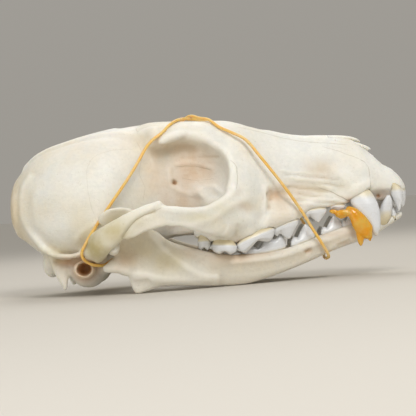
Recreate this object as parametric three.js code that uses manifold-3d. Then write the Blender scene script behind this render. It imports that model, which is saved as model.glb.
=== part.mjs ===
// A cleaned fox skull with its lower jaw, held shut by a rubber band that crosses over the forehead.
// Millimetres, +Z up, the snout along +X, the animal's left along +Y.
// The skull rests on its lower jaw, a little nose down, as it does on a table.
import * as THREE from "three";
import { LoftGeometry } from "three/addons/geometries/LoftGeometry.js";
import { mergeVertices } from "three/addons/utils/BufferGeometryUtils.js";
import Module from "manifold-3d";

const wasm = await Module();
wasm.setup();

// Driving dimensions of the whole skull
const SKULL_LENGTH = 123.1;
const REAR_X = -SKULL_LENGTH / 2;
const BRAINCASE_HALF_WIDTH = 22.3;
const ARCH_HALF_WIDTH = 33;
const MUZZLE_HALF_WIDTH = 9.6;
const GAP = 0.3;
const BAND_RADIUS = 0.5;

// Larger than the skull, for the blocks that trim it
const BEYOND = 200;
const ALONG_X = new THREE.Vector3(1, 0, 0);
const ALONG_Z = new THREE.Vector3(0, 0, 1);

const SIDES = { right: -1, left: 1 };
const MATERIALS = {
  bone: { color: "#ebe7d6", roughness: 0.62, metalness: 0 },
  jaw: { color: "#e7dfc4", roughness: 0.58, metalness: 0 },
  enamel: { color: "#eceff2", roughness: 0.25, metalness: 0 },
  rubber: { color: "#dfa23a", roughness: 0.45, metalness: 0 },
  amber: { color: "#c77c05", roughness: 0.12, metalness: 0 },
};

// Turns a closed geometry into a solid, with its faces pointing outwards.
function solid(geometry) {
  const bare = new THREE.BufferGeometry();
  bare.setAttribute("position", geometry.getAttribute("position"));
  bare.setIndex(geometry.index);
  const merged = mergeVertices(bare, 1e-4);
  const triVerts = new Uint32Array(merged.index.array);
  const vertProperties = merged.attributes.position.array;
  return new wasm.Manifold(new wasm.Mesh({ numProp: 3, vertProperties, triVerts }));
}

function geometryOf(made) {
  const { numProp, vertProperties, triVerts } = made.getMesh();
  const positions = new Float32Array((vertProperties.length / numProp) * 3);
  for (let i = 0; i * numProp < vertProperties.length; i++)
    positions.set(vertProperties.subarray(i * numProp, i * numProp + 3), i * 3);
  const geometry = new THREE.BufferGeometry();
  geometry.setAttribute("position", new THREE.BufferAttribute(positions, 3));
  geometry.setIndex(new THREE.BufferAttribute(new Uint32Array(triVerts), 1));
  geometry.computeVertexNormals();
  return geometry;
}

const joined = (solids) => solids.reduce((whole, one) => whole.add(one));
const cutBy = (body, tools) => tools.reduce((left, tool) => left.subtract(tool), body);

// A closed skin over rings of points, each wound the way that turns the skin's faces outwards.
function loft(rings) {
  const sumOf = (ring) => ring.reduce((sum, p) => sum.add(p), new THREE.Vector3());
  const middle = (ring) => sumOf(ring).divideScalar(ring.length);
  const centre = middle(rings[0]);
  const turning = new THREE.Vector3();
  rings[0].forEach((p, i, ring) => {
    const next = ring[(i + 1) % ring.length].clone().sub(centre);
    turning.add(p.clone().sub(centre).cross(next));
  });
  const onwards = middle(rings[1]).sub(centre);
  const wound = turning.dot(onwards) > 0 ? rings : rings.map((ring) => ring.slice().reverse());
  return solid(new LoftGeometry(wound, { capStart: true, capEnd: true }));
}

// A body of upright sections along X. Station: x, top z, bottom z, half width, z of the widest place,
// how square the section is (2 is an ellipse), the outwards y of its middle, and how square it is below.
function bodyAlongX(stations, points, side = 1) {
  const rings = stations.map(([x, top, bottom, half, widest, square, middle = 0, below = square]) =>
    Array.from({ length: points }, (_, i) => {
      const turn = (i / points) * 2 * Math.PI;
      const power = 2 / (Math.sin(turn) > 0 ? square : below);
      const across = Math.sign(Math.cos(turn)) * Math.abs(Math.cos(turn)) ** power;
      const up = Math.sign(Math.sin(turn)) * Math.abs(Math.sin(turn)) ** power;
      const reach = up > 0 ? top - widest : widest - bottom;
      return new THREE.Vector3(x, side * (middle + half * across), widest + reach * up);
    }),
  );
  return loft(rings);
}

// A plate of level ovals stacked on each other. Station: x, outwards y, z, half thickness, half length.
function plate(side, stations, points) {
  const rings = stations.map(([x, y, z, across, along]) =>
    Array.from({ length: points }, (_, k) => {
      const turn = (k / points) * 2 * Math.PI;
      return new THREE.Vector3(x + along * Math.cos(turn), side * (y + across * Math.sin(turn)), z);
    }),
  );
  return loft(rings);
}

// The station of a body at any x, between its own stations
function stationAt(stations, x) {
  const next = stations.findIndex((station) => station[0] > x);
  const [before, after] = [stations[next - 1], stations[next]];
  const share = (x - before[0]) / (after[0] - before[0]);
  return before.map((value, i) => value + share * (after[i] - value));
}

// How far out a body's side lies at an x and z, and how high its top lies at an x and y.
function sideOf(stations, x, z) {
  const [, top, bottom, half, widest, square] = stationAt(stations, x);
  const share = z > widest ? (z - widest) / (top - widest) : (widest - z) / (widest - bottom);
  return half * (1 - Math.min(share, 1) ** square) ** (1 / square);
}

function topOf(stations, x, y) {
  const [, top, , half, widest, square] = stationAt(stations, x);
  return widest + (top - widest) * (1 - Math.min(y / half, 1) ** square) ** (1 / square);
}

// A bar with oval sections square to its path. Station: x, outwards y, z, half across, half along `up`.
function bar(side, stations, points, up = ALONG_Z) {
  const places = stations.map(([x, y, z]) => new THREE.Vector3(x, side * y, z));
  const rings = stations.map(([, , , across, along], i) => {
    const before = places[Math.max(i - 1, 0)];
    const after = places[Math.min(i + 1, places.length - 1)];
    const tangent = after.clone().sub(before).normalize();
    const wide = tangent.clone().cross(up).normalize();
    const tall = wide.clone().cross(tangent).normalize();
    return Array.from({ length: points }, (_, k) => {
      const turn = ((k + 0.5) / points) * 2 * Math.PI;
      return places[i]
        .clone()
        .addScaledVector(wide, across * Math.cos(turn))
        .addScaledVector(tall, along * Math.sin(turn));
    });
  });
  return loft(rings);
}

function egg(side, [x, y, z], [rx, ry, rz], across = 14, up = 10, turnZ = 0) {
  const ball = new THREE.SphereGeometry(1, across, up);
  ball.scale(rx, ry, rz);
  ball.rotateZ(side * turnZ);
  ball.translate(x, side * y, z);
  return solid(ball);
}

// Upper teeth grow down and lower teeth grow up; each is a blade whose crown follows its cusps.
// Station of a crown: place along the tooth (-1 rear, 1 front), height share, half width share.
const CROWNS = {
  incisor: [
    [-1, 0.45, 0.6],
    [-0.3, 0.95, 1],
    [0.4, 1, 0.9],
    [1, 0.5, 0.5],
  ],
  premolar: [
    [-1, 0.25, 0.45],
    [-0.72, 0.46, 0.85],
    [-0.42, 0.42, 1],
    [0.22, 1, 1],
    [0.7, 0.38, 0.8],
    [1, 0.15, 0.4],
  ],
  carnassial: [
    [-1, 0.45, 0.45],
    [-0.66, 1, 0.8],
    [-0.1, 0.62, 0.9],
    [0.12, 0.58, 1],
    [0.6, 0.92, 1.1],
    [0.86, 0.6, 1],
    [1, 0.25, 0.5],
  ],
  lower_carnassial: [
    [-1, 0.35, 0.6],
    [-0.65, 0.5, 0.9],
    [-0.2, 0.5, 1],
    [0.22, 0.92, 1],
    [0.46, 0.62, 1],
    [0.76, 1, 0.8],
    [1, 0.4, 0.5],
  ],
  molar: [
    [-1, 0.45, 0.6],
    [-0.55, 0.95, 0.95],
    [0, 0.65, 1],
    [0.5, 1, 0.95],
    [1, 0.5, 0.6],
  ],
};

// Shares of a tooth's width at its cutting edge and of its length at the root, and the height of its neck
const EDGE_SHARE = 0.22;
const ROOT_SHARE = 0.86;
const NECK = 0.2;

// One tooth of the cheek or the front row, as a loft along its own length, with a root below the gum line.
function bladeTooth(side, up, tooth) {
  const rings = CROWNS[tooth.kind].map(([along, tall, wide]) => {
    const half = (tooth.width / 2) * wide;
    const crown = tooth.height * tall;
    const outline = [
      [0, -tooth.root],
      [half, NECK],
      [half * EDGE_SHARE, crown],
      [-half * EDGE_SHARE, crown],
      [-half, NECK],
    ];
    const place = (along * tooth.length) / 2;
    return outline.map(([across, rise]) =>
      toothPoint(side, up, tooth, rise < 0 ? ROOT_SHARE * place : place, across, rise),
    );
  });
  return loft(rings);
}

// A point of a tooth, given by its place along the tooth, across it and beyond the gum line.
function toothPoint(side, up, tooth, along, across, rise) {
  return new THREE.Vector3(
    tooth.x + along * Math.cos(tooth.turn) - across * Math.sin(tooth.turn),
    side * (tooth.y + along * Math.sin(tooth.turn) + across * Math.cos(tooth.turn)),
    tooth.gum + tooth.slope * along * Math.cos(tooth.turn) + up * rise,
  );
}

// The slot that a tooth stands in, a gap wider than the tooth all round and open past its crown.
function socket(side, up, tooth) {
  const end = tooth.length / 2 + GAP;
  const half = tooth.width / 2 + GAP;
  const footprint = [
    [end, half],
    [-end, half],
    [-end, -half],
    [end, -half],
  ];
  const ring = (rise) =>
    footprint.map(([along, across]) => toothPoint(side, up, tooth, along, across, rise));
  return loft([ring(-tooth.root - GAP), ring(tooth.height + GAP)]);
}

// A canine: a curved tapering fang with a round root.
// Each station is x, outwards y, z, half width and half length.
function fang(side, stations, grow = 0) {
  const grown = stations.map(([x, y, z, across, along]) => [x, y, z, across + grow, along + grow]);
  return bar(side, grown, 8, ALONG_X);
}

const UPPER_FANG = [
  [44.8, 7.3, 28.4, 1.4, 2.3],
  [45.6, 7.9, 25.8, 1.8, 3.1],
  [46.8, 8.7, 23.0, 2.05, 3.7],
  [48.5, 9.4, 19.8, 1.95, 3.2],
  [49.7, 9.8, 16.4, 1.5, 2.1],
  [50.0, 10.0, 13.4, 0.9, 1.15],
  [50.1, 10.0, 11.9, 0.3, 0.4],
];
const LOWER_FANG = [
  [51.2, 4.7, 14.7, 1.2, 1.6],
  [52.3, 5.1, 16.0, 1.5, 2.1],
  [53.3, 5.7, 17.8, 1.5, 2.1],
  [54.2, 6.5, 20.4, 1.2, 1.75],
  [54.8, 7.1, 22.6, 0.85, 1.2],
  [54.9, 7.4, 23.9, 0.35, 0.45],
];

// Turns rows of figures into teeth with named sizes.
function teethFrom(rows) {
  const named = ([kind, x, y, gum, height, length, width, root, turn, slope = 0]) => {
    return { kind, x, y, gum, height, length, width, root, turn, slope };
  };
  return Object.fromEntries(Object.entries(rows).map(([name, row]) => [name, named(row)]));
}

const UPPER_TEETH = teethFrom({
  // kind, x, outwards y, gum line, height, length, width, root, turn, how the gum line climbs forwards
  incisor_1: ["incisor", 60.6, 1.35, 25.3, 5.2, 2.0, 2.0, 1.6, -1.45],
  incisor_2: ["incisor", 59.4, 3.7, 25.4, 5.6, 2.2, 2.1, 1.6, -1.2],
  incisor_3: ["incisor", 57.8, 5.8, 25.6, 6.8, 2.5, 2.6, 1.6, -0.95],
  premolar_1: ["premolar", 39.0, 8.5, 21.9, 2.1, 4.6, 2.2, 2, 0.02, -0.08],
  premolar_2: ["premolar", 32.1, 9.4, 21.1, 4.0, 6.7, 2.5, 2.4, -0.14, 0.06],
  premolar_3: ["premolar", 22.9, 11.5, 17.6, 5.0, 7.3, 3.0, 2.4, -0.22, 0.26],
  carnassial: ["carnassial", 13.3, 14.9, 14.6, 3.7, 11.2, 4.4, 2.6, -0.3, 0.34],
  molar_1: ["molar", 3.6, 15.8, 12.6, 2.9, 7.2, 8.2, 2.2, 0, -0.1],
  molar_2: ["molar", -2.3, 14.9, 14.2, 3.0, 3.6, 6.0, 2, 0.1],
});
const LOWER_TEETH = teethFrom({
  // kind, x, outwards y, gum line, height, length, width, root, turn, how the gum line climbs forwards
  incisor_1: ["incisor", 58.1, 1.2, 17.8, 2.8, 1.5, 1.7, 0.7, -1.45],
  incisor_2: ["incisor", 57.6, 2.95, 17.8, 2.8, 1.6, 1.7, 0.7, -1.3],
  incisor_3: ["incisor", 56.4, 4.5, 17.4, 2.8, 1.5, 1.7, 0.8, -1.0],
  premolar_1: ["premolar", 47.3, 4.9, 15.6, 1.8, 2.6, 1.7, 1.6, -0.2],
  premolar_2: ["premolar", 42.5, 5.9, 15.5, 4.0, 4.6, 2.1, 2, -0.22, 0.2],
  premolar_3: ["premolar", 36.8, 7.1, 14.0, 4.6, 6.3, 2.3, 2.2, -0.22, 0.3],
  premolar_4: ["premolar", 27.7, 8.6, 11.4, 5.3, 7.4, 2.6, 2.2, -0.2, 0.3],
  carnassial: ["lower_carnassial", 15.8, 10.8, 9.2, 5.0, 13.0, 3.5, 2.4, -0.18, 0.12],
  molar_2: ["molar", 6.0, 13.0, 8.6, 1.5, 5.2, 3.4, 2, -0.22],
  molar_3: ["molar", 1.6, 14.2, 9.2, 1.1, 2.4, 2.4, 1.6, -0.22],
});

// The cranium

const BRAINCASE = [
  // x, top, bottom, half width, widest, square
  [REAR_X, 30.5, 24.6, 4, 27.5, 2],
  [-60.6, 33.3, 21.4, 9, 26.6, 2],
  [-57.6, 38.6, 17.6, 13.2, 25.6, 2.1],
  [-54, 42.4, 14.2, 16.4, 24.6, 2.2],
  [-49, 45.3, 10.8, 19.2, 24.2, 2.3],
  [-43.5, 47, 9.2, 21.4, 24, 2.3],
  [-36.5, 48.7, 8.8, BRAINCASE_HALF_WIDTH, 24.2, 2.3],
  [-30, 49.9, 9.2, 21, 25.4, 2.3],
  [-24.5, 50.6, 10.6, 17.8, 27.2, 2.3],
  [-19.5, 51, 12.4, 14.4, 29.2, 2.3],
  [-14, 50.6, 13.6, 11.4, 30.4, 2.3],
  [-8, 50, 14.6, 9.4, 30.4, 2.4],
  [-2, 49, 15, 9.2, 29.4, 2.6],
  [5, 46, 15.6, 11, 27, 2.4],
  [14, 42, 18, 12, 26, 2.2],
];
const FOREHEAD = [
  [-24, 48.6, 41, 8, 44.6, 2],
  [-18.5, 51.3, 41, 12, 44.8, 2.2],
  [-14.2, 51.6, 42, 14.6, 45.6, 2.2],
  [-9.5, 51.4, 42.8, 14, 46, 2.4],
  [-4, 51.2, 42, 12.8, 45.6, 2.4],
  [2, 51.2, 38, 13.4, 43.6, 2.3],
  [7, 50.9, 34, 14, 41, 2.3],
  [12, 49.6, 32, 13, 39, 2.3],
];
const FACE = [
  // x, top, bottom, half width, widest, square, middle, square below
  [-8, 45, 20, 6, 30, 2.4, 0, 2.4],
  [-4.5, 48, 18.8, 9, 30, 2.4, 0, 2.4],
  [1, 50, 18.4, 15, 29.6, 2.4, 0, 2.4],
  [6, 50.4, 17.6, 18.2, 27.6, 2.4, 0, 2.3],
  [9.5, 50, 16.6, 18.6, 26, 2.3, 0, 2.5],
  [15, 48.7, 16.6, 16.2, 24.4, 2.2, 0, 3.2],
  [20, 46.9, 17.8, 13.6, 24, 2.2, 0, 4],
  [24.5, 45.5, 19, 11.8, 25, 2.2, 0, 4.4],
  [30, 44.5, 20.6, 10.4, 27, 2.2, 0, 4.6],
  [36, 44.1, 21.9, 9.6, 28.6, 2.3, 0, 4.8],
  [42, 43.3, 22.8, 9.6, 28.6, 2.4, 0, 4.8],
  [46.5, 41.4, 23.8, MUZZLE_HALF_WIDTH + 0.3, 28.2, 2.4, 0, 4],
  [49.6, 38.6, 24.6, 9.1, 28.2, 2.5, 0, 3.4],
  [51.8, 36.8, 24.8, 8.4, 27.8, 2.6, 0, 3.2],
  [53.6, 34.8, 24.6, 8, 27.4, 2.6, 0, 3],
  [56, 33, 24.6, 7.5, 27, 2.6, 0, 2.8],
  [58, 30.9, 24.6, 6.9, 26.8, 2.5, 0, 2.6],
  [60, 28.2, 24.5, 5.4, 26.2, 2.3, 0, 2.4],
  [61.1, 26.6, 24.8, 3.8, 25.6, 2, 0, 2],
];

const NASAL_PLATE = [
  [38, 2.2, 43, 2.2, 0.8],
  [45, 1.9, 42.3, 1.8, 0.6],
  [48, 1.5, 41.2, 0.3, 0.2],
];
const NASAL_HORN = [
  [40, 4.2, 41.6, 1.6, 0.9],
  [48, 3.5, 39.8, 0.9, 0.55],
  [51, 3, 38.5, 0.2, 0.2],
];

// The cheek arch: the cheekbone, the rim that runs up from it round the eye, and the bar from the temple
const CHEEKBONE = [
  // x, outwards y, z, half thickness, half height
  [12, 13.2, 21.6, 4.2, 5.4],
  [7.5, 17.6, 21.3, 3.8, 6.2],
  [4, 21.2, 20.6, 3.1, 5.8],
  [0.5, 24.6, 20.2, 2.4, 4.6],
  [-3.5, ARCH_HALF_WIDTH - 5.3, 20.6, 1.7, 3.6],
  [-8.5, ARCH_HALF_WIDTH - 3, 21.8, 1.2, 3],
  [-13, ARCH_HALF_WIDTH - 2.2, 22.3, 1.1, 2.9],
  [-20, ARCH_HALF_WIDTH - 2.1, 20.1, 1, 2.2],
  [-25.4, ARCH_HALF_WIDTH - 2, 16.8, 0.5, 0.7],
];
const CHEEKBONE_RIM = [
  [9.6, 15.8, 33.5, 1, 0.9],
  [6, 19.8, 26.8, 1.5, 1.4],
  [-1.6, 26.2, 23.2, 1.5, 1.3],
  [-11, 30.7, 24.1, 1.4, 1.2],
  [-14.4, 31.2, 24.5, 1, 0.9],
];
const TEMPLE_BAR = [
  [-33.4, 16.6, 15, 3, 4.2],
  [-33.2, 21.6, 14.8, 2.9, 4.2],
  [-33.2, 25.4, 15.1, 3.2, 4.3],
  [-31, 29, 16.7, 2.7, 3.8],
  [-27.8, ARCH_HALF_WIDTH - 2, 18.9, 2, 3.2],
  [-24, ARCH_HALF_WIDTH - 1.6, 21.4, 1.6, 2.5],
  [-16.6, ARCH_HALF_WIDTH - 1.6, 25.2, 1.15, 1.35],
  [-14, ARCH_HALF_WIDTH - 1.8, 26.2, 0.9, 0.75],
];
const POSTGLENOID = [
  [-33.4, 22.4, 13.6, 5.4, 2.4],
  [-33.7, 22.8, 11.4, 4.6, 1.7],
  [-33.4, 22.8, 10, 2.8, 0.9],
];
const POSTORBITAL = [
  [-6.6, 11, 46.6, 2.6, 1.6],
  [-10, 13.4, 45.9, 2.4, 1.5],
  [-12.4, 15.2, 45.1, 1.5, 1],
  [-13.6, 16.2, 44.2, 0.4, 0.4],
];
const TOOTH_SHELF = [
  [-5, 13.6, 16.8, 1.4, 1.8],
  [-2, 14.6, 16.8, 3.2, 2.4],
  [3.5, 15.4, 15.8, 4.1, 3.2],
  [9, 15, 16.4, 3.6, 3.4],
  [15, 13.4, 18.2, 2.9, 3.2],
  [25.5, 10.9, 20.7, 2.1, 2.7],
  [29, 9.9, 22.7, 1.9, 2.2],
  [36, 8.9, 23.8, 1.8, 2.3],
  [43.6, 8.2, 25.6, 2.3, 2.4],
  [49, 7.4, 28.3, 2.4, 2.4],
  [50.8, 6.8, 28.6, 1.2, 1.2],
];
const EAR_CAPSULE = { at: [-37.8, 11.6, 8.4], size: [6, 5.2, 6.1], turn: -0.35 };
const EAR_FLOOR = { at: [-32.4, 12.6, 9.2], size: [4.4, 4.4, 3] };
const EAR_CANAL = { at: [-38.4, 18.4, 8.2], rim: [3.5, 3.4, 3] };
const EAR_HOLE = { at: [-38.4, 21.6, 8.2], size: [2.4, 8, 1.9] };
const PAROCCIPITAL = [
  // x, outwards y, z, half thickness, half length
  [-46.2, 13.4, 13, 2.4, 3.6],
  [-45.9, 13.8, 8.6, 1.6, 2.6],
  [-45.4, 13.8, 5, 1, 1.5],
  [-45, 13.8, 1.9, 0.4, 0.5],
];
const CONDYLE = { at: [-49.6, 5, 10], size: [2.8, 3.4, 4.2] };
const PTERYGOID = [
  // x, outwards y, z, half thickness, half height
  [-28, 7.6, 14.4, 0.9, 2.6],
  [-22, 6.8, 15.6, 0.8, 3],
  [-17, 6.6, 17.2, 0.8, 1.8],
  [-7, 6.8, 18.2, 1.5, 2.2],
  [-3, 7, 18.6, 2.2, 2.6],
  [3, 8, 19.4, 2.8, 2.6],
];
const ORBIT = { at: [-3, 19.8, 35.2], size: [10.3, 11.3, 11.2] };
const ORBIT_FLOOR = { at: [-6.5, 20, 27], size: [9.6, 9.6, 7.6] };
const FORAMEN_MAGNUM = { at: [-51.5, 0, 14], size: [7, 4.6, 4] };
const NOSE_OPENING = { at: [57.4, 0, 35.4], size: [9.6, 5, 7.4] };
const NOSE_PASSAGE = { at: [46, 0, 35.8], size: [11, 3.4, 4.2] };
const THROAT_OPENING = { at: [-13, 0, 14], size: [13, 5, 4.2] };

// How far the rim and the ridges stand off the braincase
const CREST_OFFSET = 0.3;
const RIDGE_OFFSET = 0.2;

// Places of the raised rim round the back of the head, x and z, from the ear to near the top
const CREST_LINE = [
  [-46, 11.6],
  [-50.6, 15],
  [-54.6, 20],
  [-57, 25.6],
  [-58, 30.6],
  [-57.6, 35],
];
const CREST_TOP = [-57, 0, 38];
const CREST_SIZE = [1.2, 1.1];

// Places of the low ridge from the brow to the crest, x and outwards y
const RIDGE_LINE = [
  [-24, 9],
  [-31, 8],
  [-40, 6.6],
  [-49, 4.8],
  [-56, 1.8],
];
const RIDGE_SIZE = [0.9, 0.7];
const RIDGE_FRONT = [-16, 10.8, 49.2, 0.9, 0.7];

// The raised rim round the back of the head, from one ear over the top to the other
function nuchalCrest() {
  const half = CREST_LINE.map(([x, z]) => [x, sideOf(BRAINCASE, x, z) + CREST_OFFSET, z, ...CREST_SIZE]);
  const across = half.map(([x, y, z, a, b]) => [x, -y, z, a, b]).reverse();
  return bar(1, [...half, [...CREST_TOP, ...CREST_SIZE], ...across], 6, ALONG_X);
}

function temporalRidge(side) {
  const ridge = RIDGE_LINE.map(([x, y]) => [x, y, topOf(BRAINCASE, x, y) + RIDGE_OFFSET, ...RIDGE_SIZE]);
  return bar(side, [RIDGE_FRONT, ...ridge], 4);
}

// Every tooth of one half jaw, by name; `up` is -1 in the cranium and 1 in the lower jaw.
function teethOf(side, up, fangStations, row) {
  const teeth = { canine: fang(side, fangStations) };
  for (const [name, tooth] of Object.entries(row)) teeth[name] = bladeTooth(side, up, tooth);
  return teeth;
}

function socketsOf(side, up, fangStations, row) {
  return [fang(side, fangStations, GAP), ...Object.values(row).map((tooth) => socket(side, up, tooth))];
}

// The carving can leave crumbs between two hollows: only the grown bone is kept.
function withoutCrumbs(solid) {
  return solid.decompose().reduce((best, body) => (body.volume() > best.volume() ? body : best));
}

function craniumSide(side) {
  return joined([
    bar(side, CHEEKBONE, 8),
    bar(side, CHEEKBONE_RIM, 6),
    bar(side, TEMPLE_BAR, 8),
    bar(side, POSTGLENOID, 6, ALONG_X),
    bar(side, POSTORBITAL, 6),
    bar(side, TOOTH_SHELF, 6),
    bar(side, PAROCCIPITAL, 6, ALONG_X),
    bar(side, PTERYGOID, 6),
    egg(side, EAR_CAPSULE.at, EAR_CAPSULE.size, 9, 6, EAR_CAPSULE.turn),
    egg(side, EAR_FLOOR.at, EAR_FLOOR.size, 7, 4),
    egg(side, EAR_CANAL.at, EAR_CANAL.rim, 8, 4),
    egg(side, CONDYLE.at, CONDYLE.size, 7, 5),
    temporalRidge(side),
  ]);
}

function cranium() {
  const skull = joined([
    bodyAlongX(BRAINCASE, 16),
    bodyAlongX(FOREHEAD, 14),
    bodyAlongX(FACE, 16),
    nuchalCrest(),
  ]);
  const orbits = Object.values(SIDES).flatMap((side) => [
    egg(side, ORBIT.at, ORBIT.size, 14, 8),
    egg(side, ORBIT_FLOOR.at, ORBIT_FLOOR.size, 12, 6),
  ]);
  const carved = cutBy(skull, [...orbits, egg(1, THROAT_OPENING.at, THROAT_OPENING.size, 10, 6)]);
  const whole = joined([carved, ...Object.values(SIDES).map(craniumSide)]);
  const hollows = [
    egg(1, FORAMEN_MAGNUM.at, FORAMEN_MAGNUM.size, 10, 6),
    egg(1, NOSE_OPENING.at, NOSE_OPENING.size, 10, 6),
    egg(1, NOSE_PASSAGE.at, NOSE_PASSAGE.size, 8, 4),
  ];
  for (const side of Object.values(SIDES)) {
    hollows.push(egg(side, EAR_HOLE.at, EAR_HOLE.size, 6, 4));
    hollows.push(...socketsOf(side, -1, UPPER_FANG, UPPER_TEETH));
    hollows.push(jawJoint(side, GAP));
  }
  const nasals = Object.values(SIDES).flatMap((side) => [bar(side, NASAL_PLATE, 5), bar(side, NASAL_HORN, 5)]);
  return withoutCrumbs(joined([withoutCrumbs(cutBy(whole, hollows)), ...nasals]));
}

// The lower jaw

const JAW_BODY = [
  // x, top, bottom, half thickness, widest, square, outwards y, square below
  [-24.9, 9.6, 3, 1, 6.4, 2, 21.8, 2],
  [-23.6, 14.6, -0.3, 1.7, 6.6, 2.2, 21.8, 2.2],
  [-20.6, 17, 0.3, 2.1, 6.8, 2.2, 21.6, 2.2],
  [-17, 18.2, 1.4, 2.2, 6.6, 2.2, 21, 2.2],
  [-13, 15.2, 1.7, 2.4, 6.4, 2.4, 20, 2.2],
  [-8, 13, 1.4, 2.6, 6, 2.8, 18.5, 2.3],
  [-1, 10.8, 0.3, 2.7, 5, 3.6, 15.8, 2.4],
  [7.5, 9.3, -0.5, 2.7, 4.4, 4.2, 13, 2.4],
  [15, 9.4, 1.2, 2.6, 4.8, 4.4, 11, 2.4],
  [22, 10, 3.1, 2.5, 6, 4.4, 9.8, 2.4],
  [30, 12.2, 5.7, 2.4, 8.4, 4, 8.2, 2.4],
  [37, 14.4, 8.2, 2.4, 10.8, 4, 6.9, 2.4],
  [43, 15.8, 9.9, 2.5, 12.4, 3.6, 5.5, 2.4],
  [49, 16.2, 11.2, 2.9, 13.4, 3, 3.9, 2.4],
  [53.5, 17.2, 13.8, 2.6, 15.4, 2.6, 3.2, 2.3],
  [57, 18.2, 15.7, 2.3, 16.9, 2.4, 2.9, 2.2],
  [59.2, 18.9, 17.1, 1.6, 18, 2, 2.7, 2],
];
const CORONOID = [
  // x, outwards y, z, half thickness, half length
  [-19, 21.3, 6, 1.8, 6],
  [-20, 21.3, 11, 1.7, 7.4],
  [-21.2, 21.6, 14.5, 1.5, 6.5],
  [-23.2, 22.4, 18.2, 1.2, 6.1],
  [-26.2, 23.9, 22, 1, 6.8],
  [-26.8, 24.5, 23.6, 0.9, 6],
  [-26.8, 24.9, 24.9, 0.8, 4.4],
  [-26.8, 25.2, 25.9, 0.3, 1.6],
];
const JAW_JOINT = [
  [-28.6, 18.6, 13.8, 1.3, 1.4],
  [-28.6, 20.8, 13.9, 1.9, 2],
  [-28.7, 24.2, 13.9, 2.1, 2.1],
  [-28.8, 27.4, 13.9, 1.8, 1.9],
  [-28.8, 29.2, 13.9, 1, 1.1],
];
const JAW_NECK = [
  [-20, 21.4, 11, 1.8, 5],
  [-26, 22.2, 12.2, 1.6, 3],
  [-28.4, 22.8, 13.4, 1.6, 1.8],
];
const ANGULAR = [
  [-19, 21.4, 7.6, 1.8, 3.4],
  [-24, 21.8, 8.6, 1.7, 3.4],
  [-27.4, 22.2, 9.2, 1.5, 2.9],
  [-29.6, 22.4, 8.7, 1.3, 2],
  [-32.5, 22.6, 8, 0.8, 0.8],
];
const MASSETER_HOLLOW = { at: [-16.5, 25.6, 11.4], size: [8.6, 3, 5.2] };

// The rounded bar that turns in the socket under the cheek arch's root
function jawJoint(side, grow = 0) {
  const grown = JAW_JOINT.map(([x, y, z, across, along]) => [x, y, z, across + grow, along + grow]);
  return bar(side, grown, 6);
}

function mandible(side) {
  const body = joined([
    bodyAlongX(JAW_BODY, 8, side),
    plate(side, CORONOID, 8),
    bar(side, JAW_NECK, 6),
    bar(side, ANGULAR, 6),
    jawJoint(side),
  ]);
  const table = new THREE.BoxGeometry(BEYOND, BEYOND, BEYOND);
  table.translate(0, 0, -BEYOND / 2);
  const otherHalf = new THREE.BoxGeometry(BEYOND, BEYOND, BEYOND);
  otherHalf.translate(0, (side * (GAP - BEYOND)) / 2, 0);
  return cutBy(body, [
    solid(table),
    solid(otherHalf),
    egg(side, MASSETER_HOLLOW.at, MASSETER_HOLLOW.size, 8, 5),
    ...socketsOf(side, 1, LOWER_FANG, LOWER_TEETH),
  ]);
}

// The rubber band: under the chin, up the right cheek, over the forehead to the left ear, under the skull,
// up behind the right eye, over the forehead to the left cheek and down to the chin again.
const BAND_FRONT = [
  [35, 5.4, 6.0],
  [35.2, 9.4, 6.9],
  [33.6, 11.2, 10.2],
  [30.9, 12.0, 15.0],
  [27.5, 13.2, 21.3],
  [22.7, 15.2, 28.9],
  [16.2, 16.4, 38.2],
  [12.2, 15.2, 43.6],
  [8, 12.6, 48.0],
  [4.6, 9.6, 50.4],
  [1.6, 6.4, 51.6],
];
const BAND_REAR = [
  [-9, 6.4, 52.1],
  [-13.4, 10.8, 51.2],
  [-16.4, 13.9, 48],
  [-17.4, 16.2, 44.6],
  [-20.3, 18.9, 39.0],
  [-23.8, 21.2, 33.8],
  [-29.4, 23.0, 26.5],
  [-33.9, 22.3, 20.7],
  [-36.9, 22, 16.4],
  [-38.7, 21.8, 12.8],
  [-37.8, 21.4, 10.8],
  [-35.4, 20.8, 9.4],
  [-32.4, 19.6, 9.1],
  [-29.6, 17.8, 10.6],
  [-28.2, 14.6, 9.4],
  [-27.6, 10, 7.8],
  [-27.4, 5, 7.4],
];
// The two strands cross over the middle of the forehead, one on top of the other.
const CROSSING_X = -4;
const CROSSING_Z = 51.95;
const CROSSING_LIFT = 1.25;
const BAND_STEPS = 84;

function rubberBand() {
  const on = (side, places) => places.map(([x, y, z]) => new THREE.Vector3(x, side * y, z));
  const { right, left } = SIDES;
  const path = [
    ...on(right, BAND_FRONT),
    new THREE.Vector3(CROSSING_X, 0, CROSSING_Z + CROSSING_LIFT),
    ...on(left, BAND_REAR),
    ...on(right, BAND_REAR).reverse(),
    new THREE.Vector3(CROSSING_X, 0, CROSSING_Z),
    ...on(left, BAND_FRONT).reverse(),
  ];
  const loop = new THREE.CatmullRomCurve3(path, true, "centripetal");
  const section = new THREE.Shape();
  section.absarc(0, 0, BAND_RADIUS, 0, 2 * Math.PI);
  return new THREE.ExtrudeGeometry(section, {
    steps: BAND_STEPS,
    curveSegments: 2,
    extrudePath: loop,
    bevelEnabled: false,
  });
}

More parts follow.
